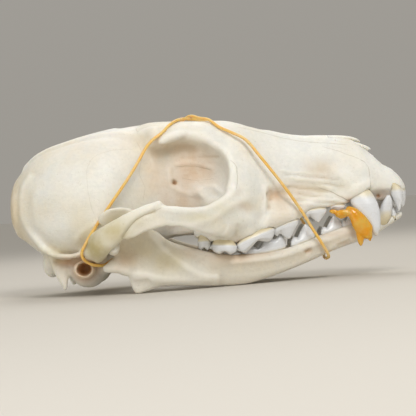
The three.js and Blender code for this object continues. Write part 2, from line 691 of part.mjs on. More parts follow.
// Perished rubber, melted into a glossy lump round the right fangs
const AMBER_SLAB = [
  // x, outwards y, z, half thickness, half length
  [41.8, 9.8, 21.2, 0.5, 0.5],
  [42.8, 10.2, 20, 1.3, 1.5],
  [44.2, 10.6, 18.2, 1.5, 2.1],
  [45.4, 10.9, 16, 1.5, 2.6],
  [46.6, 11, 13.9, 1.4, 2.6],
  [47.6, 11.1, 12.2, 1, 1.5],
  [48.4, 11.1, 11.2, 0.3, 0.4],
];
const AMBER_DRIPS = [
  [
    [44.8, 10.6, 15.5, 1.2, 1.2],
    [45, 10.8, 12.4, 1, 1.1],
    [45.1, 10.8, 9.2, 0.3, 0.3],
  ],
  [
    [38.6, 9.6, 18.2, 0.4, 0.4],
    [39.8, 9.9, 18.4, 0.8, 0.9],
    [43, 10.3, 19.2, 0.9, 0.9],
  ],
];

function amberGlue() {
  const runs = [AMBER_SLAB, ...AMBER_DRIPS].map((rows) => bar(SIDES.right, rows, 7, ALONG_X));
  return withoutCrumbs(joined(runs).subtract(fang(SIDES.right, UPPER_FANG, GAP)));
}

function mesh(name, made, finish) {
  const piece = new THREE.Mesh(geometryOf(made), new THREE.MeshStandardMaterial(MATERIALS[finish]));
  piece.name = name;
  return piece;
}

function foxSkull() {
  const whole = new THREE.Group();
  whole.add(mesh("cranium", cranium(), "bone"));
  for (const [sideName, side] of Object.entries(SIDES)) {
    whole.add(mesh(`${sideName}_mandible`, mandible(side), "jaw"));
    for (const [name, tooth] of Object.entries(teethOf(side, -1, UPPER_FANG, UPPER_TEETH)))
      whole.add(mesh(`${sideName}_upper_${name}`, tooth, "enamel"));
    for (const [name, tooth] of Object.entries(teethOf(side, 1, LOWER_FANG, LOWER_TEETH)))
      whole.add(mesh(`${sideName}_lower_${name}`, tooth, "enamel"));
  }
  whole.add(mesh("rubber_band", solid(rubberBand()), "rubber"));
  whole.add(mesh("amber_glue", amberGlue(), "amber"));
  return whole;
}

const group = foxSkull();
export default group;
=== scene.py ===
"""A cleaned fox skull held shut by a rubber band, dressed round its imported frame.

Shapes are worked out in millimetres, in the frame's axes (the snout along +X, the animal's left along +Y,
up along +Z), and each finished piece is brought to metres at the end.
"""

import logging
import math
from dataclasses import dataclass
from enum import Enum
from typing import Iterable, Sequence

import bpy
import numpy as np
from mathutils import Matrix, Vector


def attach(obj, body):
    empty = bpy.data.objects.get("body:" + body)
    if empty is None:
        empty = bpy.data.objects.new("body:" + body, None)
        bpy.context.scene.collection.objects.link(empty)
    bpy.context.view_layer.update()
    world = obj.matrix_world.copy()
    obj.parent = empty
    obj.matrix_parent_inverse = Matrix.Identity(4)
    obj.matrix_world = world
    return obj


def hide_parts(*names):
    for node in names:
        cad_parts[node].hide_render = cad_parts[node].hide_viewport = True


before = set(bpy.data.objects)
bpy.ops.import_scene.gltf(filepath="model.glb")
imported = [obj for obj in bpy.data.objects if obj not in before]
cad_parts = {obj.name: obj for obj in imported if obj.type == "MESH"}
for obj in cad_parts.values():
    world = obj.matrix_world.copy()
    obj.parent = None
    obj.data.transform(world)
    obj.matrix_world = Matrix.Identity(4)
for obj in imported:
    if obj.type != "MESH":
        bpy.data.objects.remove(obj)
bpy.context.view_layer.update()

MM = 0.001
Array = np.ndarray
Rows = Sequence[Sequence[float]]
Place = tuple[float, float, float]
Piece = bpy.types.Object
Material = bpy.types.Material
Tree = bpy.types.NodeTree
log = logging.getLogger("fox_skull")

# Closest distances that still count, in millimetres, and a distance that counts as far off
TINY = 1e-6
WELD = 1e-4
FAR = 9.0

# How the curves, skins, strokes and seams are worked
SLOPE_AT_TURNS = 0.25
FACES_ROUND_A_BALL = 40
SHRINK_STEP, SWELL_STEP, FILLET_STEP = 0.5, 0.52, 0.6
STROKE_EDGE, FACING_EDGE = 0.6, 0.25
SEAM_EDGE, SEAM_NEAR, SEAM_FAINTEST = 0.5, (1.2, 2.4), 0.01
SEAM_START, SEAM_END = (-0.02, 0.06), (0.94, 1.02)
HOLLOW_SCALES = ((4, 1.2), (16, 0.5))
FORWARDS = (1, 0, 0)


class Side(Enum):
    """The two sides of the animal; the value is the sign of Y."""

    RIGHT = -1
    LEFT = 1

    @property
    def label(self) -> str:
        """The word that the frame's node names use."""
        return self.name.lower()


class View(Enum):
    """The picture plane that a stroke is drawn on: the two axes kept, and the axis looked along."""

    SIDE = (0, 2, 1)
    TOP = (0, 1, 2)


class Jaw(Enum):
    """Upper teeth grow down and lower teeth grow up; the value is the sign of Z."""

    UPPER = -1
    LOWER = 1


# Curves and rings


def resample(rows: Rows, count: int, key: int = 3) -> Array:
    """Runs a smooth curve through rows of numbers.

    Args:
        rows: The stations, one row each.
        count: How many rows to return.
        key: How many leading columns say how far apart two stations are.

    Returns:
        The denser rows, evenly spread along the curve.
    """
    table = np.asarray(rows, float)
    gaps = np.linalg.norm(np.diff(table[:, :key], axis=0), axis=1)
    place = np.concatenate([[0.0], np.cumsum(np.maximum(gaps, TINY))])
    inner = np.gradient(table, place, axis=0)
    slopes = np.diff(table, axis=0) / np.diff(place)[:, None]
    inner[0], inner[-1] = slopes[0], slopes[-1]
    turns = slopes[:-1] * slopes[1:] <= 0
    inner[1:-1][turns] *= SLOPE_AT_TURNS
    at = np.linspace(0, place[-1], count)
    index = np.clip(np.searchsorted(place, at, side="right") - 1, 0, len(place) - 2)
    span = (place[index + 1] - place[index])[:, None]
    t = ((at - place[index]) / span[:, 0])[:, None]
    p0, p1, m0, m1 = table[index], table[index + 1], inner[index] * span, inner[index + 1] * span
    return (
        (2 * t**3 - 3 * t**2 + 1) * p0 + (t**3 - 2 * t**2 + t) * m0
        + (3 * t**2 - 2 * t**3) * p1 + (t**3 - t**2) * m1
    )


def body_rings(rows: Rows, side: int = 1, count: int = 80, points: int = 56) -> Array:
    """Upright rounded sections along X.

    Args:
        rows: x, top, bottom, half width, height of the widest place, squareness, outwards y and squareness
            below. The last two may be left out.
        side: The sign of Y.
        count: How many sections.
        points: How many points in each.

    Returns:
        Points, shaped (sections, points, 3).
    """
    full = [row if len(row) == 8 else (*row, 0.0, row[5]) for row in rows]
    s = resample(full, count, key=1)[:, :, None]
    turn = np.linspace(0, 2 * np.pi, points, endpoint=False)[None, :]
    power = 2 / np.where(np.sin(turn) > 0, s[:, 5], s[:, 7])
    across = np.sign(np.cos(turn)) * np.abs(np.cos(turn)) ** power
    up = np.sign(np.sin(turn)) * np.abs(np.sin(turn)) ** power
    reach = np.where(up > 0, s[:, 1] - s[:, 4], s[:, 4] - s[:, 2])
    x = np.broadcast_to(s[:, 0], across.shape)
    return np.stack([x, side * (s[:, 6] + s[:, 3] * across), s[:, 4] + reach * up], axis=-1)


def bar_rings(rows: Rows, side: int, up: Place = (0, 0, 1), count: int = 30, points: int = 24) -> Array:
    """Oval sections square to a path.

    Args:
        rows: x, outwards y, z, half size across, half size along `up`.
        side: The sign of Y.
        up: The direction that the last column runs along.
        count: How many sections.
        points: How many points in each.

    Returns:
        Points, shaped (sections, points, 3).
    """
    s = resample(rows, count)
    place = s[:, :3] * np.array([1.0, side, 1.0])
    tangent = np.gradient(place, axis=0)
    tangent /= np.linalg.norm(tangent, axis=1, keepdims=True)
    wide = np.cross(tangent, np.array(up, float))
    wide /= np.linalg.norm(wide, axis=1, keepdims=True)
    tall = np.cross(wide, tangent)
    turn = np.linspace(0, 2 * np.pi, points, endpoint=False)
    c, n = np.cos(turn)[None, :, None], np.sin(turn)[None, :, None]
    across, along = s[:, 3, None, None], s[:, 4, None, None]
    return place[:, None] + wide[:, None] * across * c + tall[:, None] * along * n


def level_rings(rows: Rows, side: int, count: int = 40, points: int = 40) -> Array:
    """Level ovals stacked on each other.

    Args:
        rows: x, outwards y, z, half thickness, half length.
        side: The sign of Y.
        count: How many ovals.
        points: How many points in each.

    Returns:
        Points, shaped (ovals, points, 3).
    """
    turn = np.linspace(0, 2 * np.pi, points, endpoint=False)
    x, y, z, across, along = (column[:, None] for column in resample(rows, count).T)
    fore, out = x + along * np.cos(turn), side * (y + across * np.sin(turn))
    return np.stack([fore, out, np.broadcast_to(z, fore.shape)], axis=-1)


# Work at the bench: operators on the active piece


def deselect() -> None:
    """Leaves object mode with nothing selected."""
    if bpy.context.mode != "OBJECT":
        bpy.ops.object.mode_set(mode="OBJECT")
    bpy.ops.object.select_all(action="DESELECT")


def pick(piece: Piece) -> None:
    """Makes one piece the only selected and the active one."""
    deselect()
    piece.select_set(True)
    bpy.context.view_layer.objects.active = piece


def skin(name: str, rings: Array) -> Piece:
    """Wraps a grid into a closed tube over rings of points.

    Args:
        name: The piece's name.
        rings: Points, shaped (sections, points, 3).

    Returns:
        The tube, with both ends filled and its faces outwards.
    """
    count, points = rings.shape[:2]
    deselect()
    bpy.ops.mesh.primitive_grid_add(x_subdivisions=points, y_subdivisions=count - 1, size=1)
    tube = bpy.context.object
    tube.name = name
    wrapped = np.concatenate([rings, rings[:, :1]], axis=1).reshape(-1, 3)
    tube.data.vertices.foreach_set("co", wrapped.ravel())
    bpy.ops.object.mode_set(mode="EDIT")
    bpy.ops.mesh.select_all(action="SELECT")
    bpy.ops.mesh.remove_doubles(threshold=WELD)
    bpy.ops.mesh.fill_holes(sides=0)
    bpy.ops.mesh.select_all(action="SELECT")
    bpy.ops.mesh.normals_make_consistent(inside=False)
    bpy.ops.object.mode_set(mode="OBJECT")
    return tube


def egg(name: str, at: Place, size: Place, side: int = 1, turn: Place = (0, 0, 0)) -> Piece:
    """A stretched ball.

    Args:
        name: The piece's name.
        at: Its middle, with y outwards.
        size: Its three half sizes.
        side: The sign of Y.
        turn: Its turn about X, Y and Z in radians, for the left side.

    Returns:
        The ball.
    """
    deselect()
    bpy.ops.mesh.primitive_uv_sphere_add(
        segments=FACES_ROUND_A_BALL, ring_count=FACES_ROUND_A_BALL // 2, radius=1)
    ball = bpy.context.object
    ball.name = name
    ball.scale = size
    ball.rotation_euler = (side * turn[0], turn[1], side * turn[2])
    ball.location = (at[0], side * at[1], at[2])
    bpy.ops.object.transform_apply(location=True, rotation=True, scale=True)
    return ball


def merge(name: str, pieces: Sequence[Piece]) -> Piece:
    """Joins pieces into one object, which takes the name."""
    deselect()
    for piece in pieces:
        piece.select_set(True)
    bpy.context.view_layer.objects.active = pieces[0]
    if len(pieces) > 1:
        bpy.ops.object.join()
    pieces[0].name = name
    return pieces[0]


def apply_modifier(piece: Piece, kind: str, **settings: object) -> None:
    """Adds one modifier with its settings and applies it."""
    pick(piece)
    modifier = piece.modifiers.new(kind.lower(), kind)
    for key, value in settings.items():
        setattr(modifier, key, value)
    bpy.ops.object.modifier_apply(modifier=modifier.name)


def carve(piece: Piece, tool: Piece) -> None:
    """Cuts the tool out of the piece and throws the tool away."""
    apply_modifier(piece, "BOOLEAN", operation="DIFFERENCE", solver="MANIFOLD", object=tool)
    discard(tool)


def discard(piece: Piece) -> None:
    """Deletes a piece with its mesh."""
    data = piece.data
    bpy.data.objects.remove(piece)
    bpy.data.meshes.remove(data)


def grow_together(piece: Piece, voxel: float) -> None:
    """Melts overlapping parts into one even skin of small quads."""
    apply_modifier(piece, "REMESH", mode="VOXEL", voxel_size=voxel, adaptivity=0.0)


def points_of(piece: Piece) -> Array:
    """The piece's vertex places."""
    out = np.empty(len(piece.data.vertices) * 3, np.float32)
    piece.data.vertices.foreach_get("co", out)
    return out.reshape(-1, 3).astype(float)


def place_points(piece: Piece, points: Array) -> None:
    """Moves the piece's vertices."""
    piece.data.vertices.foreach_set("co", points.astype(np.float32).ravel())
    piece.data.update()


def normals_of(piece: Piece) -> Array:
    """The piece's vertex normals."""
    out = np.empty(len(piece.data.vertices) * 3, np.float32)
    piece.data.vertex_normals.foreach_get("vector", out)
    return out.reshape(-1, 3).astype(float)


class Neighbours:
    """Averages a value over each vertex's neighbours."""

    def __init__(self, piece: Piece) -> None:
        """Reads the piece's edges."""
        mesh = piece.data
        ends = np.empty(len(mesh.edges) * 2, np.int32)
        mesh.edges.foreach_get("vertices", ends)
        a, b = ends.reshape(-1, 2).T
        self.to = np.concatenate([a, b])
        self.off = np.concatenate([b, a])
        self.size = len(mesh.vertices)
        self.count = np.maximum(np.bincount(self.to, minlength=self.size), 1)

    def average(self, values: Array) -> Array:
        """The mean of the neighbours' values, for each vertex."""
        if values.ndim == 1:
            return np.bincount(self.to, values[self.off], self.size) / self.count
        return np.stack([self.average(column) for column in values.T], axis=1)


def soften(piece: Piece, rounds: int) -> None:
    """Smooths a skin without shrinking it: each round pulls it in and swells it again."""
    around = Neighbours(piece)
    points = points_of(piece)
    for _ in range(rounds):
        points += SHRINK_STEP * (around.average(points) - points)
        points -= SWELL_STEP * (around.average(points) - points)
    place_points(piece, points)


def fill_creases(piece: Piece, rounds: int) -> None:
    """Fillets the inner corners where parts meet, and leaves the outer edges as they are."""
    around = Neighbours(piece)
    points = points_of(piece)
    for _ in range(rounds):
        place_points(piece, points)
        normal = normals_of(piece)
        rise = ((around.average(points) - points) * normal).sum(1)
        rise = 0.5 * (rise + around.average(rise))
        points += FILLET_STEP * np.maximum(rise, 0)[:, None] * normal
    place_points(piece, points)


# Strokes: what a carver's tool would raise or press in


def fade(value: Array, low: float, high: float) -> Array:
    """0 below low, 1 above high, and smooth between."""
    t = np.clip((value - low) / (high - low), 0, 1)
    return t * t * (3 - 2 * t)


def within(value: Array, span: tuple[float, float], edge: float) -> Array:
    """1 inside a span and 0 outside it, with soft edges."""
    low, high = span
    return fade(value, low - edge, low + edge) * (1 - fade(value, high - edge, high + edge))


def outwards(points: Array, side: Side) -> Array:
    """The same places with y counted outwards on one side."""
    return points * np.array([1.0, side.value, 1.0])


def to_line(flat: Array, line: Array) -> tuple[Array, Array, Array]:
    """How far points in a plane are from a line of points.

    Args:
        flat: Points, shaped (n, 2).
        line: The line's points, shaped (m, 2).

    Returns:
        The distance, the side of the line as a sign, and how far along it, 0 to 1.
    """
    best = np.full(len(flat), np.inf)
    sign = np.ones(len(flat))
    along = np.zeros(len(flat))
    if len(line) == 1:
        return np.linalg.norm(flat - line[0], axis=1), sign, along
    lengths = np.linalg.norm(np.diff(line, axis=0), axis=1)
    starts = np.concatenate([[0.0], np.cumsum(lengths)])
    for k, (a, b) in enumerate(zip(line[:-1], line[1:])):
        d = b - a
        t = ((flat - a) @ d) / max(d @ d, TINY)
        near = np.clip(t, 0, 1)
        off = flat - a - near[:, None] * d
        distance = np.linalg.norm(off, axis=1)
        closer = distance < best
        best = np.where(closer, distance, best)
        sign = np.where(closer, np.sign(d[0] * off[:, 1] - d[1] * off[:, 0]), sign)
        reach = t if k in (0, len(lengths) - 1) else near
        along = np.where(closer, (starts[k] + reach * lengths[k]) / starts[-1], along)
    return best, np.where(sign == 0, 1.0, sign), along


def smooth_line(points: Rows, per_span: int = 5) -> Array:
    """The same line with its corners rounded."""
    line = np.asarray(points, float)
    return line if len(line) < 3 else resample(line, per_span * (len(line) - 1) + 1, key=2)


@dataclass(frozen=True)
class Stroke:
    """A ridge, groove, bulge or dent.

    A stroke on View.SIDE is drawn in x and z, and `depth` is the span of outwards y that it reaches.
    On View.TOP it is drawn in x and outwards y, and `depth` is a span of z. Where `facing` isn't 0, only the
    skin that faces that way gets the stroke: outwards or up for a positive number, the other way for a
    negative one.
    """

    line: Rows
    radius: float
    height: float
    depth: tuple[float, float]
    view: View = View.SIDE
    facing: float = 0.0

    def weight(self, points: Array, normal: Array, side: Side) -> Array:
        """How much of the stroke each vertex gets.

        Args:
            points: The vertex places.
            normal: The vertex normals.
            side: The side of the animal.

        Returns:
            A share for each vertex, 0 to 1.
        """
        places = outwards(points, side)
        first, second, deep = self.view.value
        distance, _, _ = to_line(places[:, [first, second]], smooth_line(self.line))
        share = np.exp(-((distance / self.radius) ** 2)) * within(places[:, deep], self.depth, STROKE_EDGE)
        if self.facing:
            faced = outwards(normal, side)[:, deep] * np.sign(self.facing)
            share *= fade(faced, abs(self.facing) - FACING_EDGE, abs(self.facing) + FACING_EDGE)
        return share


def sculpt(piece: Piece, strokes: Iterable[Stroke]) -> None:
    """Raises and presses in the strokes along the skin's own normals."""
    points, normal = points_of(piece), normals_of(piece)
    around = Neighbours(piece)
    for _ in range(3):
        normal = around.average(normal)
    normal /= np.maximum(np.linalg.norm(normal, axis=1, keepdims=True), TINY)
    push = np.zeros(len(points))
    for stroke in strokes:
        for side in Side:
            push += stroke.height * stroke.weight(points, normal, side)
    place_points(piece, points + push[:, None] * normal)


@dataclass(frozen=True)
class Seam:
    """A suture drawn on one view, with the depth that it lies in."""

    line: Rows
    depth: tuple[float, float]
    strength: float = 1.0
    view: View = View.SIDE


def mark_seams(piece: Piece, seams: Iterable[Seam]) -> None:
    """Stores how far each vertex is from the nearest suture, and how strong that suture is there.

    Args:
        piece: The piece that gets the attributes seam_offset and seam_strength.
        seams: The sutures.
    """
    points = points_of(piece)
    offset, strength = np.full(len(points), FAR), np.zeros(len(points))
    nearest = offset.copy()
    for seam in seams:
        line = smooth_line(seam.line)
        first, second, deep = seam.view.value
        for side in Side:
            places = outwards(points, side)
            distance, sign, along = to_line(places[:, [first, second]], line)
            share = within(places[:, deep], seam.depth, SEAM_EDGE)
            share *= fade(along, *SEAM_START) * (1 - fade(along, *SEAM_END))
            share *= 1 - fade(distance, *SEAM_NEAR)
            closer = (share > SEAM_FAINTEST) & (distance < nearest)
            nearest = np.where(closer, distance, nearest)
            offset = np.where(closer, distance * sign, offset)
            strength = np.where(closer, share * seam.strength, strength)
    store(piece, "seam_offset", offset)
    store(piece, "seam_strength", strength)


def store(piece: Piece, name: str, values: Array) -> None:
    """Keeps one number for each vertex under a name that materials can read."""
    mesh = piece.data
    layer = mesh.attributes.get(name) or mesh.attributes.new(name, "FLOAT", "POINT")
    layer.data.foreach_set("value", values.astype(np.float32))


@dataclass(frozen=True)
class StainOrShade:
    """A patch of colour on both sides, stained or painted shade: its middle with y outwards, its half sizes
    and its strength.
    """

    at: Place
    size: Place
    strength: float


def mark_stains(piece: Piece, name: str, stains: Iterable[StainOrShade]) -> None:
    """Stores the strongest of the patches, stained or painted shade, at each vertex."""
    points = points_of(piece)
    amount = np.zeros(len(points))
    for stain_or_shade in stains:
        for side in Side:
            off = (outwards(points, side) - stain_or_shade.at) / stain_or_shade.size
            amount = np.maximum(amount, stain_or_shade.strength * np.exp(-(off**2).sum(1)))
    store(piece, name, amount)


def mark_hollows(piece: Piece) -> None:
    """Stores how far each vertex lies in a hollow, from fine creases to wide dips, as `hollow`; the bone
    finish paints shade and highlights from it.
    """
    around = Neighbours(piece)
    points, normal = points_of(piece), normals_of(piece)
    spread, total = points.copy(), np.zeros(len(points))
    for rounds, share in HOLLOW_SCALES:
        for _ in range(rounds):
            spread = around.average(spread)
        total += share * ((spread - points) * normal).sum(1)
    store(piece, "hollow", np.clip(0.5 + total, 0, 1))


def hand_in(piece: Piece, node: str, finish: Material) -> None:
    """Brings a piece to metres, dresses it and ties it to the frame.

    Args:
        piece: The piece, in millimetres.
        node: The frame's node that it stands for.
        finish: Its material.
    """
    pick(piece)
    piece.data.transform(Matrix.Scale(MM, 4))
    piece.data.materials.clear()
    piece.data.materials.append(finish)
    bpy.ops.object.shade_smooth()
    deselect()
    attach(piece, "root")
    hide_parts(node)
    log.info("%s: %d faces, for %s", piece.name, len(piece.data.polygons), node)


# Finishes


class Graph:
    """A short way to wire shader nodes."""

    def __init__(self, tree: Tree) -> None:
        """Keeps the tree that nodes are added to."""
        self.tree = tree

    def node(self, kind: str, inputs: dict | None = None, **settings: object) -> bpy.types.Node:
        """Adds a node.

        Args:
            kind: The node's type, without its ShaderNode prefix.
            inputs: Values or sockets for its inputs, by name or index.
            **settings: Its own settings.

        Returns:
            The node.
        """
        made = self.tree.nodes.new(kind if kind.startswith("NodeGroup") else "ShaderNode" + kind)
        for key, value in settings.items():
            setattr(made, key, value)
        for key, value in (inputs or {}).items():
            if isinstance(value, bpy.types.NodeSocket):
                self.tree.links.new(value, made.inputs[key])
            else:
                made.inputs[key].default_value = value
        return made

    def math(self, operation: str, a: object, b: object = 0.5, c: object = 0.5,
             clamp: bool = False) -> object:
        """Works out a number from up to three others."""
        return self.node("Math", {0: a, 1: b, 2: c}, operation=operation, use_clamp=clamp).outputs[0]

    def times(self, a: object, b: object) -> object:
        """Multiplies two numbers."""
        return self.math("MULTIPLY", a, b)

    def minus(self, a: object, b: object) -> object:
        """Takes the second number from the first."""
        return self.math("SUBTRACT", a, b)

    def blend(self, share: object, a: object, b: object, mode: str = "MIX") -> object:
        """Mixes two colours."""
        return self.node("Mix", {0: share, 6: a, 7: b}, data_type="RGBA", blend_type=mode).outputs[2]

    def ramp(self, value: object, low: float, high: float, out_low: float = 0.0,
             out_high: float = 1.0) -> object:
        """Maps one span of numbers onto another, smoothly and held at its ends."""
        inputs = {0: value, 1: low, 2: high, 3: out_low, 4: out_high}
        return self.node("MapRange", inputs, interpolation_type="SMOOTHSTEP").outputs[0]

    def noise(self, place: object, scale: float, detail: float = 3.0, roughness: float = 0.55) -> object:
        """A cloudy pattern, 0 to 1."""
        inputs = {"Vector": place, "Scale": scale, "Detail": detail, "Roughness": roughness}
        return self.node("TexNoise", inputs).outputs[0]

    def bump(self, height: object, strength: float, distance: float) -> object:
        """The direction that a bumpy surface faces."""
        return self.node("Bump", {"Strength": strength, "Distance": distance, "Height": height}).outputs[0]

    def attribute(self, name: str) -> object:
        """A number stored on the piece's vertices."""
        return self.node("Attribute", attribute_name=name).outputs["Fac"]

    def place(self) -> object:
        """The place on the piece, in metres, that patterns are drawn in."""
        return self.node("TexCoord").outputs["Object"]


def colour(code: str) -> tuple[float, float, float, float]:
    """A linear colour from a six-figure code, by the usual curve of a screen."""
    parts = [int(code[i:i + 2], 16) / 255 for i in (0, 2, 4)]
    return (*[p / 12.92 if p <= 0.04045 else ((p + 0.055) / 1.055) ** 2.4 for p in parts], 1.0)


def group_tree(name: str, inputs: dict[str, tuple[str, object]], outputs: dict[str, str]) -> tuple:
    """Makes an empty shader node group.

    Args:
        name: Its name.
        inputs: For each input, its socket type and value.
        outputs: For each output, its socket type.

    Returns:
        The tree, its wiring help, its input node and its output node.
    """
    tree = bpy.data.node_groups.new(name, "ShaderNodeTree")
    for label, (kind, value) in inputs.items():
        socket = tree.interface.new_socket(name=label, in_out="INPUT", socket_type="NodeSocket" + kind)
        if value is not None:
            socket.default_value = value
    for label, kind in outputs.items():
        tree.interface.new_socket(name=label, in_out="OUTPUT", socket_type="NodeSocket" + kind)
    graph = Graph(tree)
    return tree, graph, graph.node("NodeGroupInput"), graph.node("NodeGroupOutput")


def grown_tone_group() -> Tree:
    """Builds the group that gives old bone its clouded ivory: broad drifts, fine mottling and specks.

    Returns:
        The group, whose three tints are set by the finish that uses it.
    """
    tints = {label: ("Color", colour("FFFFFF")) for label in ("Pale", "Warm", "Cool")}
    tree, graph, given, out = group_tree(
        "grown_tone", {**tints, "Vector": ("Vector", None)}, {"Color": "Color", "Speck": "Float"})
    place = given.outputs["Vector"]
    drift = graph.ramp(graph.noise(place, 42, 3), 0.36, 0.68)
    patch = graph.ramp(graph.noise(place, 150, 4, 0.6), 0.42, 0.72)
    speck = graph.ramp(graph.noise(place, 1500, 1, 0.5), 0.66, 0.74)
    grain = graph.ramp(graph.noise(place, 900, 3, 0.6), 0.3, 0.75, 0.94, 1.0)
    tone = graph.blend(graph.times(drift, 0.75), given.outputs["Pale"], given.outputs["Warm"])
    tone = graph.blend(graph.times(patch, 0.5), tone, given.outputs["Cool"])
    grey = graph.node("CombineColor", {0: grain, 1: grain, 2: grain}).outputs[0]
    graph.tree.links.new(graph.blend(1.0, tone, grey, "MULTIPLY"), out.inputs["Color"])
    graph.tree.links.new(speck, out.inputs["Speck"])
    return tree


def suture_group() -> Tree:
    """Builds the group that draws wandering sutures from the offsets stored on the skin.

    Returns:
        The group.
    """
    inputs = {"Wander": ("Float", 0.55), "Width": ("Float", 0.13), "Vector": ("Vector", None)}
    tree, graph, given, out = group_tree("suture_line", inputs, {"Line": "Float"})
    place = given.outputs["Vector"]
    wander = graph.minus(graph.noise(place, 700, 3, 0.7), 0.5)
    shifted = graph.math("MULTIPLY_ADD", wander, given.outputs["Wander"], graph.attribute("seam_offset"))
    share = graph.math("DIVIDE", graph.math("ABSOLUTE", shifted), given.outputs["Width"])
    line = graph.minus(1.0, graph.ramp(share, 0.35, 1.3))
    broken = graph.ramp(graph.noise(place, 260, 2), 0.3, 0.55, 0.35, 1.0)
    drawn = graph.times(graph.times(line, graph.attribute("seam_strength")), broken)
    graph.tree.links.new(drawn, out.inputs["Line"])
    return tree


@dataclass(frozen=True)
class Finish:
    """What all finishes share: a named material with one shader."""

    name: str

    def build(self) -> Material:
        """Makes the material."""
        material = bpy.data.materials.new(self.name)
        material.use_nodes = True
        material.node_tree.nodes.clear()
        graph = Graph(material.node_tree)
        shader = graph.node("BsdfPrincipled", self.wire(graph))
        graph.node("OutputMaterial", {"Surface": shader.outputs[0]})
        return material

    def wire(self, graph: Graph) -> dict[str, object]:
        """Works out the shader's inputs, which each finish does in its own way.

        Args:
            graph: The material's wiring help.

        Returns:
            The inputs, by name.
        """
        raise NotImplementedError(f"{self.name} has no wiring for {graph.tree.name}")


@dataclass(frozen=True)
class BoneFinish(Finish):
    """Old cleaned bone: ivory, clouded, stained, finely pitted, with painted shade in its hollows and
    painted highlights on its ridges.
    """

    pale: str
    warm: str
    cool: str
    roughness: float
    tone: Tree
    suture: Tree
    in_hollows: str = "BFA678"
    ridge_highlight: str = "FBF8EE"
    in_sutures: str = "8F7B55"
    specks: str = "9C8A66"
    stains: Sequence[tuple[str, str]] = (
        ("olive", "C3B47C"), ("brown", "A86D31"), ("pink", "D4B594"), ("amber_stain", "DCA24A"),
    )

    def wire(self, graph: Graph) -> dict[str, object]:
        """Clouds the ivory, paints shade into the hollows and highlights onto the ridges, lays the stained
        and painted-shade patches on and roughens it all.

        Args:
            graph: The material's wiring help.

        Returns:
            The shader's inputs.
        """
        place = graph.place()
        toned = graph.node("Group", {
            "Pale": colour(self.pale), "Warm": colour(self.warm), "Cool": colour(self.cool), "Vector": place,
        }, node_tree=self.tone)
        speck = toned.outputs["Speck"]
        line = graph.node("Group", {"Vector": place}, node_tree=self.suture).outputs["Line"]
        wavy = graph.noise(place, 380, 3, 0.5)
        ground = self._ground(graph, place, toned.outputs["Color"])
        ground = graph.blend(graph.times(line, 0.62), ground, colour(self.in_sutures))
        ground = graph.blend(graph.times(speck, 0.12), ground, colour(self.specks))
        pitted = graph.times(graph.noise(place, 2200, 4, 0.65), 0.22)
        height = graph.math("MULTIPLY_ADD", wavy, 0.5, pitted)
        height = graph.minus(graph.minus(height, graph.times(line, 0.55)), graph.times(speck, 0.12))
        stretched = graph.node("VectorMath", {0: place, 1: (0.22, 1.0, 1.0)}, operation="MULTIPLY")
        height = graph.math("MULTIPLY_ADD", graph.noise(stretched.outputs[0], 1500, 3, 0.6), 0.4, height)
        return {
            "Base Color": ground, "Normal": graph.bump(height, 0.5, 0.0004),
            "Roughness": graph.ramp(wavy, 0.3, 0.7, self.roughness - 0.07, self.roughness + 0.08),
            "IOR": 1.5, "Specular IOR Level": 0.42, "Subsurface Weight": 0.12,
            "Subsurface Radius": (1.0, 0.72, 0.42), "Subsurface Scale": 0.0012,
        }

    def _ground(self, graph: Graph, place: object, ivory: object) -> object:
        """Paints shade into the hollows and highlights onto the ridges, and lays the stained and
        painted-shade patches over them.

        Args:
            graph: The material's wiring help.
            place: Where the pattern is drawn.
            ivory: The clean bone's colour.

        Returns:
            The colour, with its painted shade, painted highlights and staining.
        """
        hollow = graph.attribute("hollow")
        # Painted shade where the skin lies in a hollow, tinted yellow-brown like grime, and a painted
        # highlight where it stands out on a ridge.
        deep, ridge_highlight_share = graph.ramp(hollow, 0.52, 0.95, 0.0, 0.34), graph.ramp(hollow, 0.5, 0.25, 0.0, 0.5)
        ground = graph.blend(deep, ivory, colour(self.in_hollows), "MULTIPLY")
        ground = graph.blend(ridge_highlight_share, ground, colour(self.ridge_highlight))
        patchy = graph.ramp(graph.noise(place, 220, 3), 0.3, 0.7, 0.75, 1.15)
        for name, code in self.stains:
            share = graph.math("MULTIPLY", graph.attribute(name), patchy, clamp=True)
            ground = graph.blend(share, ground, colour(code))
        return ground


@dataclass(frozen=True)
class EnamelFinish(Finish):
    """Glossy bluish-white enamel that yellows towards the gum line, with fine cracks."""

    name: str = "enamel"
    tip: str = "E4E6E8"
    neck: str = "E6DCC0"
    root: str = "D9CBA6"
    worn: str = "D9C79A"
    cracks: str = "B9B4A2"

    def wire(self, graph: Graph) -> dict[str, object]:
        """Colours the tooth by how high each place stands on its crown.

        Args:
            graph: The material's wiring help.

        Returns:
            The shader's inputs.
        """
        place, crown = graph.place(), graph.attribute("crown")
        cloud = graph.noise(place, 300, 3, 0.6)
        share = graph.ramp(graph.math("MULTIPLY_ADD", cloud, 0.2, crown), 0.02, 0.24)
        ground = graph.blend(share, colour(self.neck), colour(self.tip))
        ground = graph.blend(graph.ramp(crown, -0.05, -0.25), ground, colour(self.root))
        wear = graph.ramp(graph.math("MULTIPLY_ADD", graph.noise(place, 800, 2), 0.3, crown), 1.0, 1.25)
        ground = graph.blend(graph.times(wear, 0.5), ground, colour(self.worn))
        mesh = graph.node("TexVoronoi", {"Vector": place, "Scale": 420, "Randomness": 1.0},
                          feature="DISTANCE_TO_EDGE").outputs["Distance"]
        ground = graph.blend(graph.ramp(mesh, 0.0, 0.02, 0.22, 0.0), ground, colour(self.cracks))
        return {
            "Base Color": ground, "Normal": graph.bump(cloud, 0.16, 0.0002),
            "Roughness": graph.ramp(crown, 0.0, 0.3, 0.5, 0.24),
            "IOR": 1.62, "Coat Weight": 0.3, "Coat Roughness": 0.12, "Subsurface Weight": 0.15,
            "Subsurface Radius": (0.9, 0.9, 1.0), "Subsurface Scale": 0.0008,
        }


